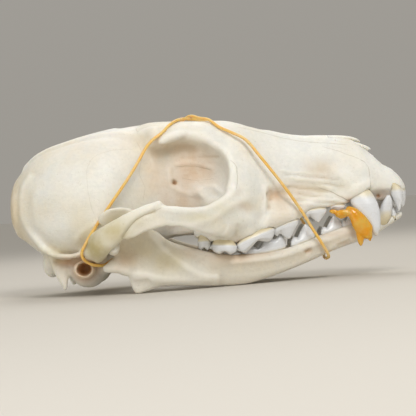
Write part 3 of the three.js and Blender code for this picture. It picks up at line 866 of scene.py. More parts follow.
@dataclass(frozen=True)
class RubberFinish(Finish):
    """Pale amber rubber, slightly cloudy, dusty and perished in places."""

    name: str = "rubber"
    clear: str = "F2C468"
    dull: str = "F0D59E"
    perished: str = "C98F35"

    def wire(self, graph: Graph) -> dict[str, object]:
        """Dusts the rubber and darkens its perished spots."""
        place = graph.place()
        cloud = graph.noise(place, 180, 3, 0.6)
        dust = graph.ramp(cloud, 0.42, 0.68, 0.0, 0.6)
        spots = graph.ramp(graph.noise(place, 1500, 2), 0.62, 0.75, 0.0, 0.5)
        ground = graph.blend(dust, colour(self.clear), colour(self.dull))
        return {
            "Base Color": graph.blend(spots, ground, colour(self.perished)),
            "Normal": graph.bump(graph.noise(place, 1200, 4), 0.25, 0.00015),
            "Roughness": graph.ramp(cloud, 0.3, 0.7, 0.32, 0.55), "IOR": 1.52, "Subsurface Weight": 0.35,
            "Subsurface Radius": (1.0, 0.5, 0.15), "Subsurface Scale": 0.001,
        }


@dataclass(frozen=True)
class AmberFinish(Finish):
    """Perished rubber melted to a clear amber lump."""

    name: str = "amber"
    tint: str = "FFB21A"
    thin: str = "FFD060"

    def wire(self, graph: Graph) -> dict[str, object]:
        """Clouds the amber and lets light into it."""
        place = graph.place()
        share = graph.ramp(graph.noise(place, 260, 3, 0.55), 0.35, 0.7)
        return {
            "Base Color": graph.blend(share, colour(self.tint), colour(self.thin)),
            "Normal": graph.bump(graph.noise(place, 500, 3), 0.3, 0.0003),
            "Roughness": 0.12, "IOR": 1.54, "Transmission Weight": 0.3, "Subsurface Weight": 0.45,
            "Subsurface Radius": (1.0, 0.6, 0.1), "Subsurface Scale": 0.0015,
        }


@dataclass(frozen=True)
class PaperFinish(Finish):
    """The plain pale paper that the skull stands on."""

    name: str = "pale_paper"
    tone: str = "D3CEC5"

    def wire(self, graph: Graph) -> dict[str, object]:
        """Gives the paper its tone; it needs no pattern."""
        return {"Base Color": colour(self.tone), "Roughness": 0.9, "Specular IOR Level": 0.1}


# The cranium


@dataclass
class Cranium:
    """Braincase, face, cheek arches, palate and ear capsules, grown as one bone."""

    voxel: float = 0.5
    core_voxel: float = 0.65
    braincase: Rows = (
        (-61.4, 29.8, 25.4, 3.2, 27.5, 2), (-60.6, 33.3, 21.4, 9, 26.6, 2),
        (-57.6, 38.6, 17.6, 13.2, 25.6, 2.1), (-54, 42.4, 14.2, 16.4, 24.6, 2.2),
        (-49, 45.3, 10.8, 19.2, 24.2, 2.3), (-43.5, 47, 9.2, 21.4, 24, 2.3),
        (-36.5, 48.7, 8.8, 22.3, 24.2, 2.3), (-30, 49.9, 9.2, 21, 25.4, 2.3),
        (-24.5, 50.6, 10.6, 17.8, 27.2, 2.3), (-19.5, 51, 12.4, 14.4, 29.2, 2.3),
        (-14, 50.6, 13.6, 11.4, 30.4, 2.3), (-8, 50, 14.6, 9.4, 30.4, 2.4), (-2, 49, 15, 9.2, 29.4, 2.6),
        (5, 46, 15.6, 11, 27, 2.4), (14, 42, 18, 12, 26, 2.2),
    )
    forehead: Rows = (
        (-24, 48.6, 41, 8, 44.6, 2), (-18.5, 51.3, 41, 12, 44.8, 2.2), (-14.2, 51.6, 42, 14.6, 45.6, 2.2),
        (-9.5, 51.4, 42.8, 14, 46, 2.4), (-4, 51.2, 42, 12.8, 45.6, 2.4), (2, 51.2, 38, 13.4, 43.6, 2.3),
        (7, 50.9, 34, 14, 41, 2.3), (12, 49.6, 32, 13, 39, 2.3),
    )
    face: Rows = (
        (-8, 45, 20, 6, 30, 2.4, 0, 2.4), (-4.5, 48, 18.8, 9, 30, 2.4, 0, 2.4),
        (1, 50, 18.4, 15, 29.6, 2.4, 0, 2.4), (6, 50.4, 17.6, 18.2, 27.6, 2.4, 0, 2.3),
        (9.5, 50, 16.6, 18.6, 26, 2.3, 0, 2.5), (15, 48.7, 16.6, 16.2, 24.4, 2.2, 0, 3.2),
        (20, 46.9, 17.8, 13.6, 24, 2.2, 0, 4), (24.5, 45.5, 19, 11.8, 25, 2.2, 0, 4.4),
        (30, 44.5, 20.6, 10.4, 27, 2.2, 0, 4.6), (36, 44.1, 21.9, 9.6, 28.6, 2.3, 0, 4.8),
        (42, 43.3, 22.8, 9.6, 28.6, 2.4, 0, 4.8), (46.5, 41.4, 23.8, 9.9, 28.2, 2.4, 0, 4),
        (49.6, 38.6, 24.6, 9.1, 28.2, 2.5, 0, 3.4), (51.8, 36.8, 24.8, 8.4, 27.8, 2.6, 0, 3.2),
        (53.6, 34.8, 24.6, 8.0, 27.4, 2.6, 0, 3), (56, 33.5, 24.6, 7.5, 27, 2.6, 0, 2.8),
        (58, 31.5, 24.6, 6.9, 26.8, 2.5, 0, 2.6), (60, 28.7, 24.5, 5.4, 26.2, 2.3, 0, 2.4),
        (61, 26.6, 24.8, 3.8, 25.6, 2, 0, 2),
    )
    nasal_plate: Rows = (
        (38, 2.2, 43.0, 2.2, 0.8), (42, 2.1, 42.7, 2.1, 0.75), (45, 1.9, 42.3, 1.8, 0.6),
        (47.3, 1.6, 41.5, 1.1, 0.4), (48, 1.5, 41.2, 0.3, 0.2),
    )
    nasal_horn: Rows = (
        (40, 4.2, 41.6, 1.6, 0.9), (44.5, 3.9, 40.9, 1.3, 0.7), (48, 3.5, 39.8, 0.9, 0.55),
        (50.4, 3.1, 38.8, 0.4, 0.35), (51, 3.0, 38.5, 0.15, 0.15),
    )
    jugal: Rows = (
        (12, 13.2, 21.6, 4.2, 5.4), (7.5, 17.6, 21.3, 3.8, 6.2), (4, 21.2, 20.6, 3.1, 5.8),
        (0.5, 24.6, 20.2, 2.4, 4.6), (-3.5, 27.7, 20.6, 1.7, 3.6), (-8.5, 30.0, 21.8, 1.2, 3.0),
        (-13, 31.1, 22.3, 1.05, 2.9), (-16.6, 31.3, 21.4, 1.05, 2.6), (-20, 31.3, 20.1, 1.0, 2.2),
        (-23.2, 31.2, 18.2, 0.9, 1.7), (-25.4, 31.0, 16.8, 0.5, 0.7),
    )
    jugal_rim: Rows = (
        (9.6, 15.8, 33.5, 1.0, 0.9), (8.4, 17.4, 29.5, 1.3, 1.2), (6.0, 19.8, 26.8, 1.5, 1.4),
        (2.4, 23.0, 24.6, 1.5, 1.4), (-1.6, 26.2, 23.2, 1.5, 1.3), (-6, 28.9, 23.3, 1.5, 1.2),
        (-11, 30.7, 24.1, 1.4, 1.2), (-14.4, 31.2, 24.5, 1.0, 0.9),
    )
    squamosal_bar: Rows = (
        (-33.6, 16.6, 15.0, 3.1, 4.2), (-33.5, 21.6, 14.8, 3.0, 4.2), (-33.2, 25.4, 15.1, 3.2, 4.3),
        (-31.0, 29.0, 16.7, 2.7, 3.8), (-27.8, 30.6, 18.9, 2.0, 3.2), (-24, 31.3, 21.4, 1.6, 2.5),
        (-20, 31.5, 23.6, 1.35, 1.9), (-16.6, 31.4, 25.2, 1.15, 1.35), (-14.0, 31.2, 26.2, 0.9, 0.75),
    )
    root_flange: Rows = (
        (-35.2, 14.6, 13.2, 2.0, 2.2), (-35.8, 18.0, 13.0, 1.9, 2.0), (-35.8, 24.4, 12.9, 1.9, 2.0),
        (-34.6, 26.6, 13.4, 1.5, 1.6),
    )
    postglenoid: Rows = (
        (-33.4, 22.4, 13.6, 5.4, 2.4), (-33.7, 22.8, 11.4, 4.6, 1.7), (-33.4, 22.8, 10.0, 2.8, 0.9),
    )
    postorbital: Rows = (
        (-6.6, 11, 46.6, 2.6, 1.6), (-10, 13.4, 45.9, 2.4, 1.5), (-12.4, 15.2, 45.1, 1.5, 1),
        (-13.6, 16.2, 44.2, 0.4, 0.4),
    )
    tooth_shelf: Rows = (
        (-5.0, 13.6, 16.8, 1.4, 1.8), (-2, 14.6, 16.8, 3.2, 2.4), (3.5, 15.4, 15.8, 4.1, 3.2),
        (9, 15.0, 16.4, 3.6, 3.4), (15, 13.4, 18.2, 2.9, 3.2), (21, 11.8, 19.8, 2.4, 3.1),
        (25.5, 10.9, 20.7, 2.1, 2.7), (29, 9.9, 22.7, 1.9, 2.2), (32.4, 9.4, 23.3, 1.8, 2.2),
        (36, 8.9, 23.8, 1.8, 2.3), (40.5, 8.5, 24.4, 1.9, 2.5), (43.6, 8.2, 25.6, 2.3, 2.4),
        (46.4, 8.0, 27.2, 2.5, 2.6), (49, 7.4, 28.3, 2.4, 2.4), (50.8, 6.8, 28.6, 1.2, 1.2),
    )
    front_margin: Rows = (
        (49.5, 4.6, 25.4, 1.6, 2.0), (52, 4.4, 24.4, 1.5, 2.0), (54.5, 4.2, 24.3, 1.5, 1.9),
        (57, 3.8, 25, 1.4, 1.4),
    )
    paroccipital: Rows = (
        (-46.2, 13.4, 13, 2.4, 3.6), (-45.9, 13.8, 8.6, 1.6, 2.6), (-45.4, 13.8, 5, 1, 1.5),
        (-45, 13.8, 2.0, 0.4, 0.5),
    )
    pterygoid: Rows = (
        (-28, 7.6, 14.4, 0.9, 2.6), (-22, 6.8, 15.6, 0.8, 3.0), (-17, 6.6, 17.2, 0.8, 1.8),
        (-12, 6.7, 17.7, 1.0, 1.7), (-7, 6.8, 18.2, 1.5, 2.2), (-3, 7, 18.6, 2.2, 2.6),
        (3, 8, 19.4, 2.8, 2.6),
    )
    nuchal_crest: Rows = (
        (-38.6, 19.0, 13.0, 0.7, 0.7), (-42.6, 18.6, 12.2, 0.9, 0.8), (-46.4, 17.6, 12.7, 1.0, 0.9),
        (-50.2, 16.2, 15.2, 1.0, 0.9), (-54.0, 14.4, 20, 1.0, 0.9), (-56.4, 12.9, 25.6, 1.0, 0.9),
        (-57.2, 11.4, 30.6, 1.0, 0.9), (-56.8, 8.4, 35.6, 1.0, 0.9), (-56.4, 0, 38.6, 1.0, 0.9),
    )
    middle_holes: Sequence[tuple[str, Place, Place]] = (
        ("great_foramen", (-51.5, 0, 14), (7, 4.6, 4)),
        ("nose_opening", (57.4, 0, 35.4), (9.6, 5.0, 7.4)),
        ("nose_passage", (46, 0, 35.8), (11, 3.4, 4.2)),
    )
    side_holes: Sequence[tuple] = (
        ("ear_hole", (-38.4, 21.6, 8.2), (2.4, 8, 1.9)),
        ("infraorbital", (17.9, 14.2, 26.2), (3.2, 1.0, 1.3), (0, 0.1, 0.42)),
        ("optic_hole", (-10.3, 9.4, 32.1), (1.0, 1.7, 1.0)),
        ("gum_pit", (52.1, 6.0, 23.9), (0.75, 1.6, 0.65)),
        ("orbital_fissure", (-17, 10, 24.6), (1.6, 4, 1.1), (0, 0.5, 0)),
        ("incisive_hole", (49.6, 2.1, 24.4), (3.4, 1.1, 1.8)),
        ("jugular_hole", (-44.2, 9.2, 9.4), (1.8, 1.4, 2.4)),
        ("oval_hole", (-29.4, 8.4, 11.4), (1.3, 1.1, 2.2)),
    )

    def build(self) -> Piece:
        """Grows the skull from its parts, hollows it and carves its surface.

        Returns:
            The cranium, in millimetres.
        """
        core = merge("cranium_core", [
            skin("braincase", body_rings(self.braincase)),
            skin("forehead", body_rings(self.forehead, count=40, points=40)),
            skin("face", body_rings(self.face)),
        ])
        grow_together(core, self.core_voxel)
        for side in Side:
            out = side.value
            carve(core, egg("orbit", (-3, 19.8, 35.2), (10.3, 11.3, 11.2), out))
            carve(core, egg("orbit_floor", (-6.5, 20, 27.0), (9.6, 9.6, 7.6), out))
        carve(core, egg("throat", (-13, 0, 14), (13, 5, 4.2)))
        parts = [core, self._crest()]
        for side in Side:
            parts += self._side(side)
        skull = merge("cranium_bone", parts)
        grow_together(skull, self.voxel)
        fill_creases(skull, 22)
        self._hollow(skull)
        grow_together(skull, self.voxel)
        fill_creases(skull, 5)
        soften(skull, 5)
        sculpt(skull, [*self._eye_and_cheek(), *self._muzzle(), *self._back(), *self._roof_and_palate()])
        soften(skull, 1)
        self._add_nasals(skull)
        for tool in sockets(UPPER_TEETH, UPPER_FANG, Jaw.UPPER):
            carve(skull, tool)
        return skull

    def _side(self, side: Side) -> list[Piece]:
        """Shapes the processes of one side.

        Args:
            side: The side of the animal.

        Returns:
            Bars and balls that reach into the core and into each other.
        """
        out = side.value
        return [
            skin("jugal", bar_rings(self.jugal, out, count=50)),
            skin("jugal_rim", bar_rings(self.jugal_rim, out, count=40)),
            skin("squamosal_bar", bar_rings(self.squamosal_bar, out, count=50)),
            skin("root_flange", bar_rings(self.root_flange, out)),
            skin("postglenoid", bar_rings(self.postglenoid, out, FORWARDS)),
            skin("postorbital", bar_rings(self.postorbital, out)),
            skin("tooth_shelf", bar_rings(self.tooth_shelf, out)),
            skin("front_margin", bar_rings(self.front_margin, out)),
            skin("paroccipital", bar_rings(self.paroccipital, out, FORWARDS)),
            skin("pterygoid", bar_rings(self.pterygoid, out)),
            egg("ear_capsule", (-37.8, 11.6, 8.4), (6, 5.2, 6.1), out, (0, 0, -0.35)),
            egg("ear_canal", (-38.4, 18.4, 8.2), (3.5, 3.4, 3.0), out),
            egg("condyle", (-49.6, 5, 10), (2.8, 3.4, 4.2), out),
            egg("ear_floor", (-32.4, 12.6, 9.2), (4.4, 4.4, 3.0), out, (0, -0.3, 0)),
        ]

    def _crest(self) -> Piece:
        """The raised rim round the back of the head."""
        across = tuple((x, -y, z, wide, tall) for x, y, z, wide, tall in self.nuchal_crest[-2::-1])
        return skin("nuchal_crest", bar_rings(self.nuchal_crest + across, 1, FORWARDS, count=90))

    def _hollow(self, skull: Piece) -> None:
        """Opens the holes on the middle line, and then those of each side."""
        for name, at, size in self.middle_holes:
            carve(skull, egg(name, at, size))
        for side in Side:
            for name, at, size, *turn in self.side_holes:
                carve(skull, egg(name, at, size, side.value, *turn))

    def _add_nasals(self, skull: Piece) -> None:
        """Sets the thin leaves of the nasal bones on the muzzle."""
        for side in Side:
            for rows in (self.nasal_plate, self.nasal_horn):
                leaf = skin("nasal_leaf", bar_rings(rows, side.value))
                apply_modifier(skull, "BOOLEAN", operation="UNION", solver="MANIFOLD", object=leaf)
                discard(leaf)

    @staticmethod
    def _eye_and_cheek() -> list[Stroke]:
        """Lists the strokes of the eye socket and the cheek arch.

        Returns:
            Ridges and dents, with heights in millimetres, outwards where positive.
        """
        cheek, eye, shelf, far_out = (9, 24), (5.5, 14), (5.5, 17), (24, 36)
        rim = ((-13.4, 44.2), (-10.5, 46.2), (-6.4, 46.9), (-1, 45.4), (3, 42.4), (5.8, 38.3), (7.2, 33),
               (6.6, 28.5))
        knit = ((-25.6, 17.0), (-24, 19.2), (-22, 21.3), (-19.3, 22.9), (-15.7, 24.0))
        return [
            Stroke(rim, 1.5, 0.4, cheek),
            Stroke(((9.6, 38), (10.4, 33), (10, 29)), 1.8, -0.2, cheek),
            Stroke(((-11, 42.8), (-6, 43.0), (-1, 41.4)), 2.6, -0.5, eye),
            Stroke(((-11.5, 36.4), (-11.3, 32.3), (-9.8, 30.3), (-6.2, 28.6)), 0.8, 0.35, eye),
            Stroke(((-4.3, 28.4), (-1.5, 30.2), (1.5, 30.3), (3.5, 28.5)), 0.8, 0.35, shelf),
            Stroke(((-3, 26.6), (1.5, 28)), 1.6, -0.35, shelf),
            Stroke(((-9.3, 37.9), (-3, 37.6), (1.4, 36.1)), 0.6, 0.25, eye),
            Stroke(((-7.3, 39.6), (-1.8, 39.4), (3.9, 39.2)), 0.5, -0.22, eye),
            Stroke(((-3, 20.2), (-0.7, 20.4), (3.6, 22.4), (8.3, 25.1), (11.1, 25.6)), 1.3, 0.3, (14, 30),
                   facing=0.1),
            Stroke(((-3, 17.8), (3.6, 20.0), (8.6, 22.8), (11.4, 23.8)), 2.0, -0.35, (12, 30), facing=0.1),
            Stroke(((-16, 22.4), (-10, 22.0), (-4, 21.4), (1, 22.0)), 1.6, -0.25, far_out, facing=0.3),
            Stroke(knit, 0.45, -0.45, far_out, facing=0.2),
            Stroke(((-14.6, 26.3), (-13.2, 25.6)), 0.8, 0.4, far_out),
        ]

    @staticmethod
    def _muzzle() -> list[Stroke]:
        """Lists the strokes of the muzzle's side and of the bone over the cheek teeth.

        Returns:
            Ridges, dents and the fine grain.
        """
        wall, front_wall, teeth = (6, 14), (5, 13), (10, 20)
        return [
            Stroke(((38.6, 32.4), (42, 29.6), (44.6, 26.6)), 2.4, 0.75, (4, 12)),
            Stroke(((34.7, 33.4),), 5.0, -0.7, (4, 14)),
            Stroke(((20.6, 20.8),), 3.6, 0.7, (8, 16), facing=0.3),
            Stroke(((26.6, 22.0), (27.0, 19.6)), 1.2, -0.5, (8, 14), facing=0.3),
            Stroke(((17.0, 28.8), (17.3, 27.0), (16.8, 24.4), (16.2, 21.9)), 0.7, 0.35, teeth, facing=0.2),
            Stroke(((18.8, 27.6), (18.5, 25.2), (18.0, 22.8)), 0.9, -0.5, (9, 18), facing=0.2),
            Stroke(((19.8, 26.8), (23.6, 26.8)), 1.7, -1.0, (8, 17), facing=0.2),
            Stroke(((24, 28.4), (28, 28.2), (32.5, 27.2)), 2.2, -0.55, wall, facing=0.2),
            Stroke(((27, 30.4), (29.5, 30.0), (32.5, 29.2), (36.9, 27.3)), 0.6, 0.2, wall, facing=0.2),
            *Cranium._grain(),
            Stroke(((33.4, 27.2), (36.6, 26.1), (39.6, 24.4), (42.8, 22.6)), 0.5, -0.3, front_wall,
                   facing=0.2),
            Stroke(((42.9, 23.0), (45.4, 24.0), (47.6, 25.1), (49.5, 26.2)), 0.45, -0.35, front_wall,
                   facing=0.2),
            Stroke(((30, 23.6), (34, 23.8)), 1.3, 0.35, (6, 13), facing=0.2),
            Stroke(((7.5, 15.0), (8.2, 17.6)), 0.9, -0.35, (12, 22), facing=0.2),
            Stroke(((4, 14.0), (4.6, 17.4)), 1.6, 0.35, (14, 24), facing=0.2),
            Stroke(((11.5, 16), (12.6, 19)), 1.6, 0.4, (12, 22), facing=0.2),
            Stroke(((16.3, 17.4), (17, 20)), 1.4, 0.35, teeth, facing=0.2),
        ]

    @staticmethod
    def _back() -> list[Stroke]:
        """Lists the strokes of the braincase's side and of the rim round its back.

        Returns:
            Ridges and dents.
        """
        crest_line = ((-53.6, 37.1), (-55.7, 34.2), (-56.6, 30.4), (-56.7, 25.7), (-55.4, 21.8),
                      (-52.9, 18.6), (-49.8, 14.8))
        return [
            Stroke(crest_line, 0.9, 0.35, (5, 22)),
            Stroke([(x + 2.4, z) for x, z in crest_line], 1.5, -0.3, (6, 24)),
            Stroke(((-51.7, 15.4), (-49.1, 13.6), (-46.1, 12.6), (-42.7, 12.3), (-39.2, 12.7)), 0.8, 0.3,
                   (13, 24)),
            Stroke(((-47, 10.9), (-42.6, 10.6), (-39.2, 10.8)), 1.0, -0.9, (11, 24), facing=0.1),
            Stroke(((-30, 19.8), (-33.4, 21.2), (-37, 20.0), (-40, 17.4)), 1.2, 0.4, (16, 25), facing=0.1),
            Stroke(((-26, 24), (-23, 30), (-20, 36)), 3.2, -0.55, (9, 24), facing=0.2),
        ]

    @staticmethod
    def _roof_and_palate() -> list[Stroke]:
        """Lists the strokes of the roof, the palate and the base, drawn from above.

        Returns:
            Ridges and dents, those of the roof first.
        """
        top, under, base = (36, 60), (8, 27), (4, 16)
        temporal = ((-15, 12.4), (-18, 10.6), (-24, 9), (-31, 8), (-40, 6.6), (-49, 4.8), (-56, 1.8))
        return [
            Stroke(temporal, 1.0, 0.55, top, View.TOP, facing=0.2),
            Stroke([(x, y + 2.2) for x, y in temporal[1:]], 1.2, -0.25, top, View.TOP, facing=0.2),
            Stroke(((-52, 0), (-40, 0), (-28, 0)), 1.5, 0.25, top, View.TOP, facing=0.3),
            Stroke(((0, 0), (8, 0), (15, 0)), 4.0, -0.6, top, View.TOP, facing=0.3),
            Stroke(((18, 0), (30, 0), (44, 0)), 0.8, -0.35, top, View.TOP, facing=0.3),
            Stroke(((20, 3.4), (32, 3.6), (44, 3.4)), 1.4, 0.2, top, View.TOP, facing=0.3),
            Stroke(((0, 0), (20, 0), (46, 0)), 3.6, -1.1, under, View.TOP, facing=-0.4),
            Stroke(((2, 0), (24, 0), (45, 0)), 0.7, 0.2, under, View.TOP, facing=-0.4),
            Stroke(((6, 5.6), (20, 4.4), (34, 3.4)), 0.7, -0.35, under, View.TOP, facing=-0.4),
            Stroke(((-46, 0), (-36, 0), (-27, 0)), 0.8, 0.5, base, View.TOP, facing=-0.4),
            Stroke(((-44, 3.6), (-36, 4.0), (-28, 3.6)), 1.3, -0.5, base, View.TOP, facing=-0.4),
            Stroke(((-33, 10.4), (-29, 9.4)), 1.0, -0.5, (2, 16), View.TOP, facing=-0.4),
        ]

    @staticmethod
    def _grain() -> list[Stroke]:
        """Lists the fine wavy grain of the upper jaw, grooves and ridges by turns.

        Returns:
            Strokes under each other that start and end at uneven places.
        """
        top, apart, fall, wave = 33.4, 0.95, 0.17, 0.22
        strokes = []
        for k in range(11):
            start, end = 22 + 1.7 * (k * 5 % 4), 36 + 1.3 * (k * 3 % 5)
            line = [(x, top - apart * k - fall * (x - 24) + wave * math.sin(0.9 * x + 2.1 * k))
                    for x in np.linspace(start, end, 9)]
            strokes.append(Stroke(line, 0.36, -0.24 if k % 2 else 0.18, (6, 16), facing=0.2))
        return strokes

    def seams(self) -> list[Seam]:
        """Lists the sutures that show.

        Returns:
            Those seen from the side, and then those on the roof and the palate.
        """
        cheek = (12, 22)
        return [
            Seam(((46.8, 35.6), (48.7, 33.9), (49.4, 30.9), (49.4, 27.3), (49.2, 26.3)), (3, 14), 0.7),
            Seam(((42.9, 23.0), (45.4, 24.0), (47.6, 25.1), (49.3, 26.1)), (6, 14)),
            Seam(((33.4, 27.6), (36.6, 26.5), (39.6, 24.7), (42.6, 22.9)), (6, 14), 0.8),
            Seam(((10, 48.0), (17.2, 46.0), (23.2, 44.0), (29.3, 42.4), (36.9, 41.2), (44.0, 40.2)), (2, 12),
                 0.4),
            Seam(((35.8, 40.2), (40.1, 38.6), (43.8, 36.9), (47.1, 35.4)), (3, 12), 0.4),
            Seam(((7.1, 37.8), (8.9, 35.5), (8.9, 31.6), (8.3, 28.7)), cheek, 0.5),
            Seam(((-33.6, 22.0), (-34.9, 26.9), (-35.6, 31.7), (-35.7, 37.1), (-33.8, 41.1), (-28.3, 43.1),
                  (-20.8, 43.2)), (10, 25), 0.2),
            Seam(((-26.0, 16.6), (-24, 19.2), (-22, 21.3), (-19.3, 22.9), (-15.7, 24.0), (-13.6, 25.0)),
                 (24, 36), 0.8),
            Seam(((-9.3, 37.0), (-6.6, 37.0), (-2.9, 36.6), (-0.2, 35.8), (1.4, 35.2)), (6, 13), 0.5),
            Seam(((-8, 33.4), (-3, 32.4), (2, 32.6)), (6, 13), 0.3),
            Seam(((-20.8, 46), (-19.2, 41), (-20.4, 36), (-19, 31), (-20, 27)), (8, 20), 0.22),
            Seam(((-8, 0.05), (4, 0.02), (16, 0.05)), (40, 60), 0.35, View.TOP),
            Seam(((18, 0), (30, 0.1), (46, 0)), (38, 60), 0.8, View.TOP),
            Seam(((-20, 1), (-19.4, 4), (-20.8, 7), (-20, 10)), (44, 60), 0.5, View.TOP),
            Seam(((2, 0.2), (20, -0.1), (44, 0.1)), (10, 26), 0.8, View.TOP),
        ]

    def dress(self, skull: Piece) -> None:
        """Stores sutures, hollows, stained patches and painted shade on the skin.

        Args:
            skull: The cranium.
        """
        mark_seams(skull, self.seams())
        mark_hollows(skull)
        # Olive: yellowed tints of the bone, and painted shade in the thin band under the rim of the cheek
        # arch.
        mark_stains(skull, "olive", [
            StainOrShade((-60, 8, 26), (5, 16, 14), 0.38), StainOrShade((-48, 16, 13), (10, 8, 4), 0.4),
            StainOrShade((-34, 27, 14.5), (8, 10, 7), 0.85), StainOrShade((-28.0, 31, 18.6), (6, 5, 5), 0.75),
            StainOrShade((-22, 31, 21.5), (6, 4, 3), 0.35), StainOrShade((-5, 29, 21.4), (9, 4, 1.6), 0.4),
            StainOrShade((2, 23, 23), (5, 5, 2), 0.35), StainOrShade((11, 17, 24), (4, 5, 2), 0.3),
            StainOrShade((-26, 17, 24), (6, 5, 5), 0.2), StainOrShade((34.7, 10, 33.2), (4, 5, 2.4), 0.28),
            StainOrShade((33, 10, 27.6), (10, 5, 3.2), 0.26),
        ])
        mark_stains(skull, "brown", [
            StainOrShade((-38.5, 15, 8.1), (3.4, 5, 3.4), 1.0), StainOrShade((-42.7, 16, 10.5), (5, 5, 2.0), 0.6),
            StainOrShade((-10.3, 7, 32.1), (1.4, 2.4, 1.4), 0.9), StainOrShade((-35, 18, 10), (3, 6, 2.4), 0.55),
            # These two patches are painted shade: the dark of the pit between the canine and the corner
            # incisor, and of the bone round it.
            StainOrShade((53.0, 5, 24.2), (2.6, 4, 2.0), 0.5), StainOrShade((52.1, 5, 23.9), (1.0, 3, 0.9), 0.8),
            StainOrShade((10, 18, 23.4), (3, 4, 1.4), 0.3),
            StainOrShade((8, 17, 12.5), (1.4, 3, 1.6), 0.6), StainOrShade((43, 9, 22.6), (1.4, 3, 1.2), 0.6),
        ])
        mark_stains(skull, "pink", [
            StainOrShade((-4, 9, 36), (8, 4, 7), 0.8), StainOrShade((20.6, 12, 26), (4, 3, 2.4), 0.75),
            StainOrShade((-9, 8, 27), (9, 5, 9), 0.68), StainOrShade((34.7, 9, 33), (5, 4, 4), 0.3),
            StainOrShade((28, 12, 27), (8, 5, 2.8), 0.4),
        ])
        mark_stains(skull, "amber_stain", [
            StainOrShade((-61, 6, 28), (4.5, 14, 11), 0.22), StainOrShade((-38.4, 20, 8.2), (4.2, 5, 4.0), 0.5),
            StainOrShade((-32, 12, 46), (24, 12, 6), 0.1), StainOrShade((-16, 15, 38), (4, 6, 9), 0.3),
            StainOrShade((-7, 9, 43), (8, 5, 3), 0.1), StainOrShade((21, 14, 21), (4, 4, 4), 0.16),
        ])


# The lower jaw


